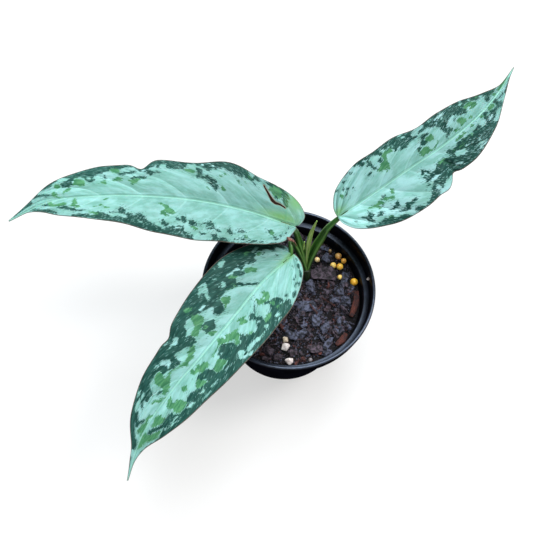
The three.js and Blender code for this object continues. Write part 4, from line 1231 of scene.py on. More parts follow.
leaf_skin = leaf_material()
stalk_skin = stalk_material("dark green stalk",
                            tone(10, 36, 8), tone(42, 94, 26), tone(116, 162, 84), 0.34)
stem_skin = stalk_material("short stem",
                           tone(20, 32, 15), tone(40, 58, 30), tone(90, 110, 66), 0.5)
spear_skin = stalk_material("rolled new leaf",
                            tone(120, 158, 72), tone(164, 196, 108), tone(204, 216, 150), 0.4)
pot_plastic = plastic_material()
chips_finish = chip_material()
soil_and_gap_shade_finish = dark_soil_and_gap_shade_material()
bark_finish = bark_material()
pumice_finish = stone_material("white pumice", tone(226, 216, 212), tone(196, 182, 178), 2.4, 0.3, 0.9)
beige_finish = stone_material("beige pumice", tone(206, 192, 170), tone(170, 152, 132), 2.8, 0.25, 0.9)
clay_finish = stone_material("grey clay bead", tone(128, 122, 124), tone(98, 92, 96), 3.4, 0.12, 0.75)
bract_finish = papery_material()
root_finish = root_material()


# Blades

def half_width(leaf, u, side):
    left, right = (through(STATIONS, leaf[half], u) for half in ("left_half", "right_half"))
    half = np.where(side < 0, left, right)
    for notch_side, at, width, depth, _ in leaf["notches"]:
        half = half - np.where(side == notch_side, depth * np.exp(-(((u - at) / width) ** 2)), 0)
    return np.maximum(half, TIP_HALF_WIDTH)


def blade_shape(leaf, u, v):
    """Places on the upper face, its normals, and the flat millimetres along and across the blade."""
    side = np.where(v < 0, -1.0, 1.0)
    out = np.abs(v)
    width = half_width(leaf, u, side)
    place, along = curve_at(leaf["midrib"], u)
    right = level_side(along)
    normal = np.cross(right, along)
    angle = np.radians(leaf["base_sweep"] * np.maximum(1 - u / BASE_SHARE, 0) ** 1.5
                       + leaf["tip_sweep"] * np.maximum(1 - (1 - u) / TIP_SHARE, 0) ** 2)
    length = curve_length(leaf["midrib"])
    across = width * v * np.cos(angle)
    onward = width * out * np.sin(angle)

    count, first, lean = (np.where(side < 0, low, high) for low, high in zip(*leaf["veins"]))
    phase = count * (u - lean * out**VEIN_BEND) - first
    pillow = np.abs(np.sin(np.pi * phase)) - QUILT_LEVEL
    quilt = QUILT * pillow * np.sin(np.pi * np.minimum(out, 1)) ** 0.7
    height, waves, start = leaf["ruffle"]
    ends = np.minimum(1, (width - TIP_HALF_WIDTH) / TAPER_WIDTH)
    ruffle = height * out**2 * np.sin(2 * np.pi * (waves * u + start + RUFFLE_SHIFT * side))
    lift = width * out * (RISE - DROOP * out) + ends * (quilt + ruffle)
    for notch_side, at, notch_width, _, drop in leaf["notches"]:
        sag = drop * out**2 * np.exp(-(((u - at) / notch_width) ** 2))
        lift = lift - np.where(side == notch_side, sag, 0)
    vein_gap = np.abs(phase - np.round(phase)) * length / count * 0.75
    rib_gap = np.abs(across)
    rib = np.sqrt(np.clip(1 - u, 0, 1))
    rib_sides = 0.22 * np.exp(-(((rib_gap - 0.85) / 0.4) ** 2))
    rib_channel = 0.2 * np.exp(-((rib_gap / 0.4) ** 2))
    vein_groove = 0.14 * np.exp(-((vein_gap / 0.5) ** 2)) * np.minimum(1, out * 6) * (1 - out**4)
    lift = lift + rib * (rib_sides - rib_channel) - ends * vein_groove
    point = place + right * across[:, None] + along * onward[:, None] + normal * lift[:, None]
    flat = {
        "along": u * length + onward,
        "across": across,
        "vein": phase * length / count,
        "vein_gap": vein_gap,
        "rim_gap": width * (1 - out),
        "side": side,
    }
    return point, normal, flat


def paint_markings(leaf_name, along, across):
    """Reach of each tone at each place, after all outlines in their order."""
    reach = {name: np.full(along.shape, -20.0) for name in ("dark", "green", "silver")}
    for tone_name, corners in patch_list(MARKINGS[leaf_name]):
        patch = patch_reach(corners, along, across)
        if tone_name == "silver":
            reach["silver"] = np.maximum(reach["silver"], patch)
            reach["dark"] = np.minimum(reach["dark"], -patch)
            reach["green"] = np.minimum(reach["green"], -patch)
        elif tone_name == "green":
            # green also runs a little way under the dark beside it, so no silver shows between
            under_dark = np.minimum(patch + 1.5, reach["dark"])
            reach["green"] = np.maximum(reach["green"], np.maximum(patch, under_dark))
            reach["dark"] = np.minimum(reach["dark"], -patch)
        else:
            reach["dark"] = np.maximum(reach["dark"], patch)
    return reach


def gap_to_line(line, along, across):
    """Distance in millimetres from each place to a line of places."""
    return -stroke_reach([(x, y, 0.0) for x, y in line], along, across)


def make_blade(leaf_name):
    leaf = LEAVES[leaf_name]
    even = np.linspace(0, 1, BLADE_ROWS + 1)
    row = 0.75 * even + 0.25 * (0.5 - 0.5 * np.cos(np.pi * even))
    spread = np.linspace(-1, 1, BLADE_COLUMNS + 1)
    column = np.sign(spread) * (0.35 * np.abs(spread) ** 2 + 0.65 * np.abs(spread))
    u, v = (grid.ravel() for grid in np.meshgrid(row, column, indexing="ij"))
    top, normal, flat = blade_shape(leaf, u, v)
    reach = paint_markings(leaf_name, flat["along"], flat["across"])

    tear = np.full(u.shape, -20.0)
    if leaf_name == "left":
        tear = stroke_reach(TEAR, flat["along"], flat["across"])
        top = top - normal * (TEAR_DEPTH * np.exp(-np.maximum(-tear, 0) ** 2 / 0.3))[:, None]
    crease = np.full(u.shape, 20.0)
    for line in CREASES[leaf_name]:
        crease = np.minimum(crease, gap_to_line(line, flat["along"], flat["across"]))
    top = top - normal * (CREASE_DEPTH * np.exp(-((crease / 0.8) ** 2)))[:, None]

    keel = KEEL * (1 - u) * np.exp(-((v / KEEL_HALF_WIDTH) ** 2))
    depth = RIM_THICKNESS + MIDDLE_SWELL * (1 - np.abs(v) ** 3) + keel
    bottom = top - normal * depth[:, None]
    points = np.vstack([top, bottom])
    count = BLADE_COLUMNS + 1
    under = len(top)
    faces = []
    for i in range(BLADE_ROWS):
        for j in range(BLADE_COLUMNS):
            a = i * count + j
            faces.append((a, a + 1, a + 1 + count, a + count))
            faces.append((a + under, a + count + under, a + 1 + count + under, a + 1 + under))
    loop = list(range(0, BLADE_COLUMNS))
    loop += [i * count + BLADE_COLUMNS for i in range(BLADE_ROWS)]
    loop += [BLADE_ROWS * count + j for j in range(BLADE_COLUMNS, 0, -1)]
    loop += [i * count for i in range(BLADE_ROWS, 0, -1)]
    for a, b in zip(loop, loop[1:] + loop[:1]):
        faces.append((b, a, a + under, b + under))
    blade = new_piece("blade_" + leaf_name, points, faces)

    out = np.abs(v)
    vein_place = np.stack([flat["vein"], out * 30 + 3 * flat["side"], 40 * flat["side"]], axis=1)
    warm = np.zeros(u.shape)
    for onward, onward_reach, sideward, sideward_reach, share in leaf["warm"]:
        warm += share * np.exp(-((flat["along"] - onward) / onward_reach) ** 2
                               - ((flat["across"] - sideward) / sideward_reach) ** 2)
    # how much duller the silver is made, all over and beside the midrib: partly painted shade
    all_over, beside = (np.where(v < 0, low, high) for low, high in zip(*leaf["sage"]))
    sage = all_over + beside * np.exp(-((flat["across"] / 7) ** 2))
    sage = np.clip(sage, 0, 1) * (1 - 0.4 * np.clip(0.5 + reach["silver"] / 0.3, 0, 1))
    # painted light and shade: how light each half's tones are made at the stalk, midway and at the tip
    painted_light_levels = [evenly(values, u) for values in leaf["level"]]
    level = np.where(v < 0, painted_light_levels[0], painted_light_levels[1])
    rib_gap = np.abs(flat["across"]) / np.clip(1.15 - 0.75 * u, 0.3, 1)
    both_faces = {
        "dark_reach": reach["dark"],
        "green_reach": reach["green"],
        "vein_gap": flat["vein_gap"],
        "rib_gap": rib_gap,
        "rim_gap": flat["rim_gap"],
        "tear_reach": tear,
        "crease_gap": crease,
        "warm_base": warm,
        "sage": sage,
        "level": level,
        "speckle": np.full(under, leaf["specks"]),
    }
    note_places(blade, "vein_place", np.vstack([vein_place, vein_place]))
    for name, values in both_faces.items():
        note_values(blade, name, np.tile(values, 2))
    note_values(blade, "back", np.repeat([0.0, 1.0], under))
    finish_piece(blade, "leaf_" + leaf_name, leaf_skin)
    return blade


# Stalks and other grown rods

def grown_rod(name, path, radii, opening, groove, steps, sides, flat_top=1.0):
    """A rod of changing radius along a path, with a groove that faces opening and has raised lips.

    groove runs from 0 to 1 along the path as evenly spaced shares. flat_top squeezes the rod
    across the opening direction.
    """
    places, along, facing, beside = path_frames(path, steps, opening)
    share = np.linspace(0, 1, steps + 1)
    radius = evenly(radii, share)
    depth = np.clip(evenly(groove, share), 0, 1)
    angles = 2 * np.pi * np.arange(sides) / sides
    turn = np.minimum(angles, 2 * np.pi - angles)
    hollow = np.exp(-((turn / 0.5) ** 2))
    lip = np.exp(-(((turn - 0.95) / 0.28) ** 2))
    rings = []
    edges = []
    for i in range(steps + 1):
        swell = 1 - 0.42 * depth[i] * hollow + 0.14 * depth[i] * lip
        reach = radius[i] * swell
        ring = (places[i] + np.outer(reach * np.cos(angles) * flat_top, facing[i])
                + np.outer(reach * np.sin(angles), beside[i]))
        rings.append(ring)
        edges.append(depth[i] * lip)
    points, faces = lofted(rings)
    rod = new_piece(name, points, faces)
    length = curve_length(path)
    place = [(radius[i] * math.cos(a), share[i] * length, radius[i] * math.sin(a))
             for i in range(steps + 1) for a in angles]
    place += [(0, 0, 0), (0, length, 0)]
    note_places(rod, "stalk_place", place)
    note_values(rod, "sheath_edge", np.concatenate([np.ravel(edges), [0, 0]]))
    return rod


def stalk_ends(leaf):
    """Where the stalk runs on below the blade's base, into the keel."""
    u = np.array(STALK_END_SHARES)
    place, along = curve_at(leaf["midrib"], u)
    normal = np.cross(level_side(along), along)
    return (place + normal * (STALK_END_RISE * u - STALK_END_DEPTH)[:, None]).tolist()


def make_stalks():
    for leaf_name, leaf in LEAVES.items():
        path = leaf["stalk"] + stalk_ends(leaf)
        stalk = grown_rod("stalk_" + leaf_name, path, leaf["stalk_radius"], leaf["opening"], STALK_GROOVE,
                          60, 40)
        finish_piece(stalk, "leaf_" + leaf_name, stalk_skin)
    tip = grown_rod("sheath_tip", SHEATH_TIP_PATH, SHEATH_TIP_RADIUS, (1, -0.4, 0.3), [0.6, 0.4, 0], 20, 20)
    finish_piece(tip, "leaf_left", spear_skin)


def make_spear():
    groove = [0.3, 0.7, 0.9, 0.8, 0.4, 0]
    spear = grown_rod("spear_leaf", SPEAR_PATH, SPEAR_RADIUS, (0.5, -0.8, 0.4), groove, 70, 28)
    finish_piece(spear, "spear", spear_skin)


def make_bract():
    groove = [0.2, 0.5, 0.8, 1, 1]
    piece = grown_rod("dry_bract", BRACT_PATH, BRACT_RADIUS, (-0.4, -0.5, 0.8), groove, 40, 20, 0.55)
    finish_piece(piece, "bract", bract_finish)


def rod_tree():
    """Geometry tree: a line with a girth at each point becomes a closed round rod."""
    tree = bpy.data.node_groups.new("fleshy rod", "GeometryNodeTree")
    tree.interface.new_socket("Geometry", in_out="INPUT", socket_type="NodeSocketGeometry")
    sides = tree.interface.new_socket("Sides", in_out="INPUT", socket_type="NodeSocketInt")
    sides.default_value = 12
    tree.interface.new_socket("Finish", in_out="INPUT", socket_type="NodeSocketMaterial")
    tree.interface.new_socket("Geometry", in_out="OUTPUT", socket_type="NodeSocketGeometry")
    start = tree.nodes.new("NodeGroupInput")
    end = tree.nodes.new("NodeGroupOutput")
    line = put(tree, "GeometryNodeMeshToCurve", {"Mesh": start.outputs["Geometry"]})
    girth = put(tree, "GeometryNodeInputNamedAttribute", {"Name": "girth"}, data_type="FLOAT")
    thick = put(tree, "GeometryNodeSetCurveRadius", {"Curve": line.outputs[0], "Radius": girth.outputs[0]})
    ring = put(tree, "GeometryNodeCurvePrimitiveCircle",
               {"Resolution": start.outputs["Sides"], "Radius": 1.0})
    wall = put(tree, "GeometryNodeCurveToMesh", {
        "Curve": thick.outputs[0], "Profile Curve": ring.outputs[0], "Scale": girth.outputs[0],
        "Fill Caps": True})
    whole = put(tree, "GeometryNodeRealizeInstances", {"Geometry": wall.outputs[0]})
    smooth = put(tree, "GeometryNodeSetShadeSmooth", {"Geometry": whole.outputs[0], "Shade Smooth": True})
    finish = put(tree, "GeometryNodeSetMaterial", {"Geometry": smooth.outputs[0],
                                                   "Material": start.outputs["Finish"]})
    tree.links.new(finish.outputs[0], end.inputs["Geometry"])
    return tree


def make_stem():
    stem = grown_rod("short_stem", STEM_PATH, STEM_RADIUS, (0, -1, 0), [0, 0, 0, 0.2], 40, 32)
    finish_piece(stem, "stem", stem_skin)
    x, y, z = ROOT_CROWN
    points = []
    edges = []
    girths = []
    steps = 22
    for direction, reach, drop in ROOTS:
        angle = math.radians(direction)
        path = [(x + out * reach * math.cos(angle), y + out * reach * math.sin(angle), z - down * drop)
                for out, down in ROOT_BEND]
        share = np.linspace(0, 1, steps + 1)
        places, _ = curve_at(path, share)
        first = len(points)
        points.extend(places.tolist())
        edges.extend((first + k, first + k + 1) for k in range(steps))
        girths.extend((evenly(ROOT_RADIUS, share) * (1 + 0.08 * np.sin(share * 40 + direction))).tolist())
    mesh = bpy.data.meshes.new("fleshy_roots")
    mesh.from_pydata((np.array(points) * MM).tolist(), edges, [])
    roots = bpy.data.objects.new("fleshy_roots", mesh)
    scene.collection.objects.link(roots)
    note_values(roots, "girth", np.array(girths) * MM)
    run_tree(roots, rod_tree(), {"Sides": 14, "Finish": root_finish})
    finish_piece(roots, "stem", root_finish)


# Pot

def make_pot():
    rim, height, foot, wall = POT["rim"], POT["height"], POT["foot"], POT["wall"]
    floor, bead, ledge_radius = POT["floor"], POT["bead"], POT["ledge"]
    ledge = height - POT["band"]
    band = rim - wall - 1
    profile = [
        (0, 0), (10, 0), (foot - 1.2, 0), (foot - 0.7, 0.1), (foot - 0.25, 0.35), (foot - 0.05, 0.8),
        (foot + 0.35, 3),
        (ledge_radius + wall - 0.35, ledge - wall - 1.4),
        (ledge_radius + wall - 0.15, ledge - wall - 0.6),
        (ledge_radius + wall + 0.3, ledge - wall),
        (band + wall - 0.5, ledge - wall + 0.3),
        (band + wall - 0.1, ledge - wall + 0.7),
        (band + wall + 0.1, ledge - wall + 1.5),
        (rim - bead - 0.15, height - 2.8),
        (rim - bead - 0.05, height - 2.35),
        (rim - 0.1, height - 2.05), (rim, height - 1.7), (rim, height - 0.6),
        (rim - 0.15, height - 0.2), (rim - bead, height),
        (rim - bead - 0.6, height), (rim - bead - 0.95, height - 0.15), (rim - bead - 1.15, height - 0.5),
        (rim - bead - 1.35, height - 1.6),
        (band + 0.15, ledge + 1.4), (band, ledge + 0.6), (band - 0.15, ledge + 0.2), (band - 0.5, ledge),
        (ledge_radius + 0.5, ledge), (ledge_radius + 0.15, ledge - 0.1), (ledge_radius, ledge - 0.45),
        (inner_radius(ledge - 3), ledge - 3),
        (inner_radius(floor + 2), floor + 2),
        (inner_radius(floor + 1) - 0.15, floor + 1),
        (inner_radius(floor) - 0.7, floor + 0.25),
        (inner_radius(floor) - 1.6, floor), (10, floor), (0, floor),
    ]
    points, faces = turned(profile, POT["sides"])
    pot = new_piece("nursery_pot", points, faces)
    pins = []
    for i in range(POT["holes"]):
        angle = 2 * math.pi * (i + 0.5) / POT["holes"]
        bpy.ops.mesh.primitive_cylinder_add(vertices=40, radius=POT["hole"] * MM, depth=8 * MM, location=(
            POT["hole_circle"] * math.cos(angle) * MM, POT["hole_circle"] * math.sin(angle) * MM, 0))
        pins.append(bpy.context.object)
    for pin in pins:
        cut = pot.modifiers.new("drain hole", "BOOLEAN")
        cut.operation = "DIFFERENCE"
        cut.solver = "EXACT"
        cut.object = pin
    apply_modifiers(pot)
    for pin in pins:
        bpy.data.objects.remove(pin)
    pot.data.shade_smooth()
    pot.data.set_sharp_from_angle(angle=math.radians(50))
    spots = np.empty(len(pot.data.vertices) * 3, np.float32)
    pot.data.vertices.foreach_get("co", spots)
    spots = spots.reshape(-1, 3) / MM
    radius = np.hypot(spots[:, 0], spots[:, 1])
    top = (spots[:, 2] > height - 0.4) & (radius > rim - 2)
    shelf = (np.abs(spots[:, 2] - ledge) < 0.5) & (radius < band + 0.2)
    below_ledge = spots[:, 2] < ledge - wall / 2
    outside = radius > np.where(below_ledge, inner_radius(spots[:, 2]) + wall / 2, band + 0.4)
    # how glossy each place is; it also sets where the dust and painted highlight go
    sheen = np.where(outside, 0.0, 0.2)
    sheen[shelf] = np.where(radius[shelf] < ledge_radius + 0.8, 0.7, 0.18)
    sheen[top] = 1.0
    note_values(pot, "sheen", sheen)
    finish_piece(pot, "pot", pot_plastic)


# Soil

def clear_of_loose(x, y, margin):
    """Whether a place on the soil is clear of everything that lies on it."""
    spots = [(px, py, r) for px, py, r in PRILLS] + [(px, py, r) for px, py, r, _ in GRAINS] + [BEAD]
    spots.append(STEM_ROOM)
    clear = np.ones(np.shape(x), bool)
    for px, py, r in spots:
        clear &= np.hypot(x - px, y - py) > r + margin
    for strip in BARK_STRIPS:
        clear &= gap_to_line(strip, x, y) > BARK_WIDTH / 2 + margin * 0.7
    return clear


def make_soil_bed():
    """The crumbly soil between and under the chips, marked where strewn chips have room to lie."""
    rng = np.random.default_rng(5)
    bottom = POT["floor"] + 0.3
    edge = float(inner_radius(SOIL_TOP)) - 0.3
    rings = 64
    sides = 180
    profile = [(0, bottom), (10, bottom), (float(inner_radius(bottom)) - 1.8, bottom),
               (float(inner_radius(bottom + 2)) - 0.3, bottom + 2), (edge, SOIL_TOP - 1.0)]
    profile += [(edge * share, SOIL_TOP) for share in np.linspace(0.985, 0.02, rings)] + [(0, SOIL_TOP)]
    points, faces = turned(profile, sides)
    points = np.array(points)
    top = points[:, 2] > SOIL_TOP - 0.5
    x, y = points[top, 0], points[top, 1]
    grain = rng.normal(0, 0.22, top.sum())
    points[top, 2] = soil_height(x, y) - 0.5 + grain
    bed = new_piece("soil_bed", points, faces)
    free = np.where(clear_of_loose(points[:, 0], points[:, 1], 1.6), 1.0, 0.0)
    inside = np.hypot(points[:, 0], points[:, 1]) < edge - 1.6
    note_values(bed, "room_for_chips", free * top * inside)
    near = np.where(clear_of_loose(points[:, 0], points[:, 1], 0.5), 1.0, 0.25)
    rim = np.hypot(points[:, 0], points[:, 1]) < edge - 0.7
    note_values(bed, "room_for_crumbs", near * top * rim)
    return bed


def chip_tree():
    """Geometry tree: angular chips strewn over a surface where it has room, one tone each."""
    tree = bpy.data.node_groups.new("strewn chips", "GeometryNodeTree")
    face = tree.interface
    face.new_socket("Geometry", in_out="INPUT", socket_type="NodeSocketGeometry")
    defaults = [("Chips", "Float", 5.0e4), ("Shortest", "Float", 0.003), ("Longest", "Float", 0.0075),
                ("Lift", "Float", 0.0005), ("Tilt", "Float", 0.5), ("Seed", "Int", 3)]
    for label, kind, value in defaults:
        face.new_socket(label, in_out="INPUT", socket_type="NodeSocket" + kind).default_value = value
    face.new_socket("Room", in_out="INPUT", socket_type="NodeSocketString")
    face.new_socket("Finish", in_out="INPUT", socket_type="NodeSocketMaterial")
    face.new_socket("Geometry", in_out="OUTPUT", socket_type="NodeSocketGeometry")
    start = tree.nodes.new("NodeGroupInput")
    end = tree.nodes.new("NodeGroupOutput")
    seed = start.outputs["Seed"]

    def chance(low, high, shift):
        node = put(tree, "FunctionNodeRandomValue", data_type="FLOAT")
        node.inputs[2].default_value = low
        node.inputs[3].default_value = high
        tree.links.new(calc(tree, "ADD", seed, float(shift)), node.inputs["Seed"])
        return node.outputs[1]

    room = put(tree, "GeometryNodeInputNamedAttribute", {"Name": start.outputs["Room"]}, data_type="FLOAT")
    density = calc(tree, "MULTIPLY", room.outputs[0], start.outputs["Chips"])
    strewn = put(tree, "GeometryNodeDistributePointsOnFaces", {
        "Mesh": start.outputs["Geometry"], "Density": density, "Seed": seed})

    kinds = put(tree, "GeometryNodeJoinGeometry")
    for k in range(5):
        corner = put(tree, "FunctionNodeRandomValue", {"Seed": 11 + k}, data_type="FLOAT_VECTOR")
        corner.inputs[0].default_value = (-0.5, -0.5, -0.5)
        corner.inputs[1].default_value = (0.5, 0.5, 0.5)
        dots = put(tree, "GeometryNodePoints", {"Count": 13, "Position": corner.outputs[0]})
        hull = put(tree, "GeometryNodeConvexHull", {"Geometry": dots.outputs[0]})
        whole = put(tree, "GeometryNodeGeometryToInstance", {"Geometry": hull.outputs[0]})
        tree.links.new(whole.outputs[0], kinds.inputs[0])

    # most chips are short, and each one is tilted a little to either side
    shortest, longest, tilt = (start.outputs[name] for name in ("Shortest", "Longest", "Tilt"))
    small = calc(tree, "POWER", chance(0.0, 1.0, 1), 2.0)
    length = calc(tree, "MULTIPLY_ADD", small, calc(tree, "SUBTRACT", longest, shortest), shortest)
    width = calc(tree, "MULTIPLY", length, chance(0.5, 0.85, 2))
    height = calc(tree, "MULTIPLY", length, chance(0.34, 0.6, 3))
    size = put(tree, "ShaderNodeCombineXYZ", {0: length, 1: width, 2: height}).outputs[0]
    back_tilt = calc(tree, "MULTIPLY", tilt, -1.0)
    leans = [put(tree, "ShaderNodeMapRange",
                 {"Value": chance(0, 1, shift), "To Min": back_tilt, "To Max": tilt}).outputs[0]
             for shift in (4, 5)]
    turn = put(tree, "ShaderNodeCombineXYZ",
               {0: leans[0], 1: leans[1], 2: chance(0, 2 * math.pi, 6)}).outputs[0]
    spin = put(tree, "FunctionNodeEulerToRotation", {0: turn}).outputs[0]
    pick = put(tree, "FunctionNodeRandomValue", {"Seed": seed}, data_type="INT")
    pick.inputs[4].default_value = 0
    pick.inputs[5].default_value = 4
    laid = put(tree, "GeometryNodeInstanceOnPoints", {
        "Points": strewn.outputs["Points"], "Instance": kinds.outputs[0], "Pick Instance": True,
        "Instance Index": pick.outputs[2], "Rotation": spin, "Scale": size})
    shift = put(tree, "ShaderNodeCombineXYZ", {2: start.outputs["Lift"]}).outputs[0]
    raised = put(tree, "GeometryNodeTranslateInstances", {
        "Instances": laid.outputs[0], "Translation": shift, "Local Space": False})
    toned = put(tree, "GeometryNodeStoreNamedAttribute", {
        "Geometry": raised.outputs[0], "Name": "chip_tone", "Value": chance(0.0, 1.0, 8)},
        data_type="FLOAT", domain="INSTANCE")
    whole = put(tree, "GeometryNodeRealizeInstances", {"Geometry": toned.outputs[0]})
    flat = put(tree, "GeometryNodeSetShadeSmooth", {"Geometry": whole.outputs[0], "Shade Smooth": False})
    finish = put(tree, "GeometryNodeSetMaterial", {"Geometry": flat.outputs[0],
                                                   "Material": start.outputs["Finish"]})
    tree.links.new(finish.outputs[0], end.inputs["Geometry"])
    return tree


def copy_of(piece, name):
    twin = bpy.data.objects.new(name, piece.data.copy())
    scene.collection.objects.link(twin)
    return twin


def make_soil():
    bed = make_soil_bed()
    tree = chip_tree()
    chips = copy_of(bed, "strewn_chips")
    run_tree(chips, tree, {"Chips": 1.1e5, "Shortest": 0.0018, "Longest": 0.0056, "Lift": 0.0004,
                           "Tilt": 0.8, "Seed": 4, "Room": "room_for_chips", "Finish": chips_finish})
    crumbs = copy_of(bed, "strewn_crumbs")
    run_tree(crumbs, tree, {"Chips": 9.0e5, "Shortest": 0.0007, "Longest": 0.0018, "Lift": 0.0004,
                            "Tilt": 1.2, "Seed": 19, "Room": "room_for_crumbs", "Finish": chips_finish})
    finish_piece(bed, "soil", soil_and_gap_shade_finish)
    finish_piece(chips, "soil", chips_finish)
    finish_piece(crumbs, "soil", chips_finish)
    make_large_chips()


def hull_of(corners):
    """Faces of the smallest convex body round a set of corners, with chamfered edges."""
    shape = bmesh.new()
    for corner in corners:
        shape.verts.new(corner)
    bmesh.ops.convex_hull(shape, input=shape.verts)
    spare = [v for v in shape.verts if not v.link_faces]
    bmesh.ops.delete(shape, geom=spare, context="VERTS")
    bmesh.ops.dissolve_limit(shape, angle_limit=math.radians(12), verts=shape.verts, edges=shape.edges)
    bmesh.ops.bevel(shape, geom=shape.edges[:], offset=0.28, segments=1, affect="EDGES",
                    clamp_overlap=True)
    bmesh.ops.triangulate(shape, faces=shape.faces[:])
    bmesh.ops.subdivide_edges(shape, edges=shape.edges[:], cuts=2, use_grid_fill=True)
    bmesh.ops.recalc_face_normals(shape, faces=shape.faces)
    shape.verts.ensure_lookup_table()
    shape.verts.index_update()
    points = [tuple(v.co) for v in shape.verts]
    faces = [[v.index for v in f.verts] for f in shape.faces]
    shape.free()
    return points, faces


def make_large_chips():
    """The big chips and splinters, each where the photograph shows it."""
    rng = np.random.default_rng(23)
    points = []
    faces = []
    tones = []
    chips = [(*chip, CHIP_LIFT) for chip in LARGE_CHIPS]
    chips += [(*chip[:4], SPLINTER_HEIGHT, *chip[4:], SPLINTER_LIFT) for chip in SPLINTERS]
    for x, y, length, width, height, turn, kind, lift in chips:
        corners = rng.uniform(-1, 1, (17, 3))
        corners = np.sign(corners) * np.abs(corners) ** 0.55
        corners *= (length / 2, width / 2, height / 2)
        body, sides = hull_of(corners.tolist())
        body = np.array(body)
        waves = rng.normal(0, 1.1, (3, 4))
        body += 0.28 * np.sin(body @ waves + rng.uniform(0, 6, 4)).sum(axis=1, keepdims=True) / 2 * (0, 0, 1)
        body += rng.normal(0, 0.1, body.shape)
        tilt = Matrix.Rotation(rng.uniform(-0.22, 0.22), 3, "X")
        tilt = tilt @ Matrix.Rotation(rng.uniform(-0.18, 0.18), 3, "Y")
        spin = np.array(Matrix.Rotation(math.radians(turn), 3, "Z") @ tilt)
        body = body @ spin.T + (x, y, float(soil_height(x, y)) + lift)
        first = len(points)
        points.extend(body.tolist())
        faces.extend([first + k for k in face] for face in sides)
        tones.extend([kind] * len(body))
    chips = new_piece("large_chips", points, faces)
    chips.data.shade_flat()
    note_values(chips, "chip_tone", tones)
    finish_piece(chips, "soil", chips_finish)


def rough_ball(name, x, y, radius, flatness, roughness, seed):
    """A ball drawn out of round: lumpy for a grain, nearly true for a prill."""
    rng = np.random.default_rng(seed)
    ball = bmesh.new()
    bmesh.ops.create_icosphere(ball, subdivisions=4, radius=1.0)
    points = np.array([tuple(v.co) for v in ball.verts])
    faces = [[v.index for v in f.verts] for f in ball.faces]
    ball.free()
    scale = np.ones(len(points))
    for size, share in ((1.4, 1.0), (2.9, 0.6), (6.0, 0.3)):
        axes = rng.normal(0, size, (5, 3))
        shift = rng.uniform(0, 2 * np.pi, 5)
        scale += roughness * share * np.sin(points @ axes.T + shift).mean(axis=1)
    points = points * scale[:, None] * radius * (1, 1, flatness)
    points += (x, y, float(soil_height(x, y)) + radius * 0.55)
    return new_piece(name, points, faces)


def angular_grain(name, place, radius, flatness, seed):
    """A broken stone: the smallest body round a few corners, with worn edges."""
    rng = np.random.default_rng(seed)
    corners = rng.normal(0, 1, (12, 3))
    corners = corners / np.linalg.norm(corners, axis=1, keepdims=True) * rng.uniform(1.1, 1.3, (12, 1))
    points, faces = hull_of((corners * radius * (1, 1, flatness)).tolist())
    points = np.array(points) + rng.normal(0, 0.03, (len(points), 3)) + place
    grain = new_piece(name, points, faces)
    grain.data.set_sharp_from_angle(angle=math.radians(30))
    return grain


PRILL_TONES = [
    ((176, 150, 108), (140, 112, 76)),
    ((240, 184, 108), (214, 142, 70)),
    ((248, 190, 84), (222, 148, 50)),
    ((246, 226, 172), (220, 190, 128)),
    ((252, 224, 132), (230, 188, 84)),
    ((250, 208, 92), (226, 166, 50)),
    ((250, 216, 124), (228, 178, 78)),
    ((250, 198, 66), (224, 156, 36)),
]


def make_loose_things():
    for i, (x, y, radius) in enumerate(PRILLS):
        light, deep = PRILL_TONES[i]
        finish = prill_material(f"prill coat {i + 1}", tone(*light), tone(*deep))
        prill = rough_ball(f"prill_{i + 1}", x, y, radius, 1.0, 0.02, 60 + i)
        finish_piece(prill, f"fertilizer_prill_{i + 1}", finish)
    for i, (x, y, radius, flatness) in enumerate(GRAINS):
        place = (x, y, float(soil_height(x, y)) + radius * 0.5)
        grain = angular_grain(f"grain_{i + 1}", place, radius, flatness, 80 + i)
        finish_piece(grain, f"pumice_grain_{i + 1}", beige_finish if i == 0 else pumice_finish)
    fleck = angular_grain("wall_fleck", WALL_FLECK, 0.95, 1.5, 95)
    finish_piece(fleck, "pot", pumice_finish)
    bead = rough_ball("grey_bead", BEAD[0], BEAD[1], BEAD[2], 1.0, 0.05, 90)
    finish_piece(bead, "clay_bead", clay_finish)


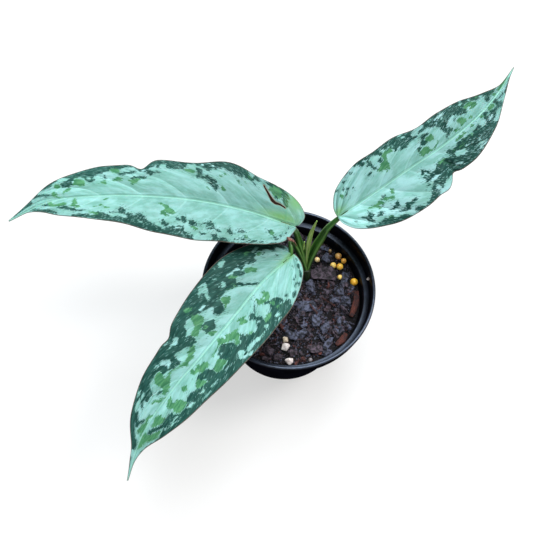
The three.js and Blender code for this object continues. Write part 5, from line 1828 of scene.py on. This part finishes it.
def make_bark_strips():
    """Long strips of red bark: a flat box section with frayed, fibrous edges."""
    rng = np.random.default_rng(31)
    steps = 48
    sides = 24
    angles = 2 * np.pi * np.arange(sides) / sides
    for n, strip in enumerate(BARK_STRIPS):
        path = [(x, y, float(soil_height(x, y)) + BARK_MIDDLE) for x, y in strip]
        places, along, _, _ = path_frames(path, steps, (0, 0, 1))
        across = level_side(along)
        rise = np.cross(across, along)
        share = np.linspace(0, 1, steps + 1)
        taper = BARK_END_SHARE + (1 - BARK_END_SHARE) * np.sin(np.pi * share)
        rough = rng.uniform(0.88, 1.06, (steps + 1, 1)) * rng.uniform(0.9, 1.08, (1, sides))
        square = np.maximum(np.abs(np.cos(angles)), np.abs(np.sin(angles))) ** -0.75
        rings = []
        for i in range(steps + 1):
            wide = BARK_WIDTH / 2 * taper[i] * np.cos(angles) * square * rough[i]
            high = BARK_THICKNESS / 2 * taper[i] * np.sin(angles) * square * rough[i]
            rings.append(places[i] + np.outer(wide, across[i]) + np.outer(high, rise[i]))
        points, faces = lofted(rings)
        # these rings run clockwise, so the faces are turned round to look outward
        faces = [face[::-1] for face in faces]
        piece = new_piece(f"bark_slab_{n + 1}", points, faces)
        length = curve_length(path)
        place = [(math.cos(a) * 1.7, s * length, math.sin(a) * 0.7) for s in share for a in angles]
        note_places(piece, "stalk_place", place + [(0, 0, 0), (0, length, 0)])
        finish_piece(piece, f"bark_strip_{n + 1}", bark_finish)


# Camera, floor and light

def make_studio():
    view = bpy.data.cameras.new("view")
    view.lens = VIEW_LENS
    view.sensor_width = 36
    view.clip_end = 20
    camera = bpy.data.objects.new("view", view)
    scene.collection.objects.link(camera)
    tilt = Matrix.Rotation(math.radians(VIEW_TILT), 4, "X")
    roll = Matrix.Rotation(math.radians(VIEW_ROLL), 4, "Z")
    camera.matrix_world = Matrix.Translation(Vector(VIEW_PLACE) * MM) @ (tilt @ roll)
    scene.camera = camera

    half = FLOOR_SIZE / 2
    corners = [(-half, -half, 0), (half, -half, 0), (half, half, 0), (-half, half, 0)]
    floor = new_piece("floor", corners, [(0, 1, 2, 3)])
    finish, tree, shader = new_material("pale floor")
    soft = cloud(tree, object_places(tree), 0.01, 2.0, 0.5)
    shade = blend_colours(tree, soft, (0.27, 0.268, 0.265, 1), (0.29, 0.288, 0.285, 1))
    set_finish(tree, shader, Base_Color=shade, Roughness=0.9, Specular_IOR_Level=0.1)
    set_finish(tree, shader, Emission_Color=(1, 0.995, 0.99, 1), Emission_Strength=0.58)
    floor.data.materials.append(finish)

    world = bpy.data.worlds.new("studio")
    world.use_nodes = True
    sky = world.node_tree.nodes["Background"]
    sky.inputs["Color"].default_value = SKY_COLOUR
    sky.inputs["Strength"].default_value = SKY_STRENGTH
    scene.world = world
    for panel in PANELS:
        add_panel(*panel)


def add_panel(name, place, size, power, colour):
    """A soft square panel light that faces the plant."""
    lamp = bpy.data.lights.new(name, "AREA")
    lamp.shape = "SQUARE"
    lamp.size = size * MM
    lamp.energy = power
    lamp.color = colour
    panel = bpy.data.objects.new(name, lamp)
    scene.collection.objects.link(panel)
    away = Vector(place) * MM
    panel.location = away
    panel.rotation_euler = (away - Vector(PANEL_AIM) * MM).to_track_quat("Z", "Y").to_euler()


scene.view_settings.view_transform = "Standard"
make_studio()
for name in LEAVES:
    make_blade(name)
make_stalks()
make_spear()
make_bract()
make_stem()
make_pot()
make_soil()
make_loose_things()
make_bark_strips()
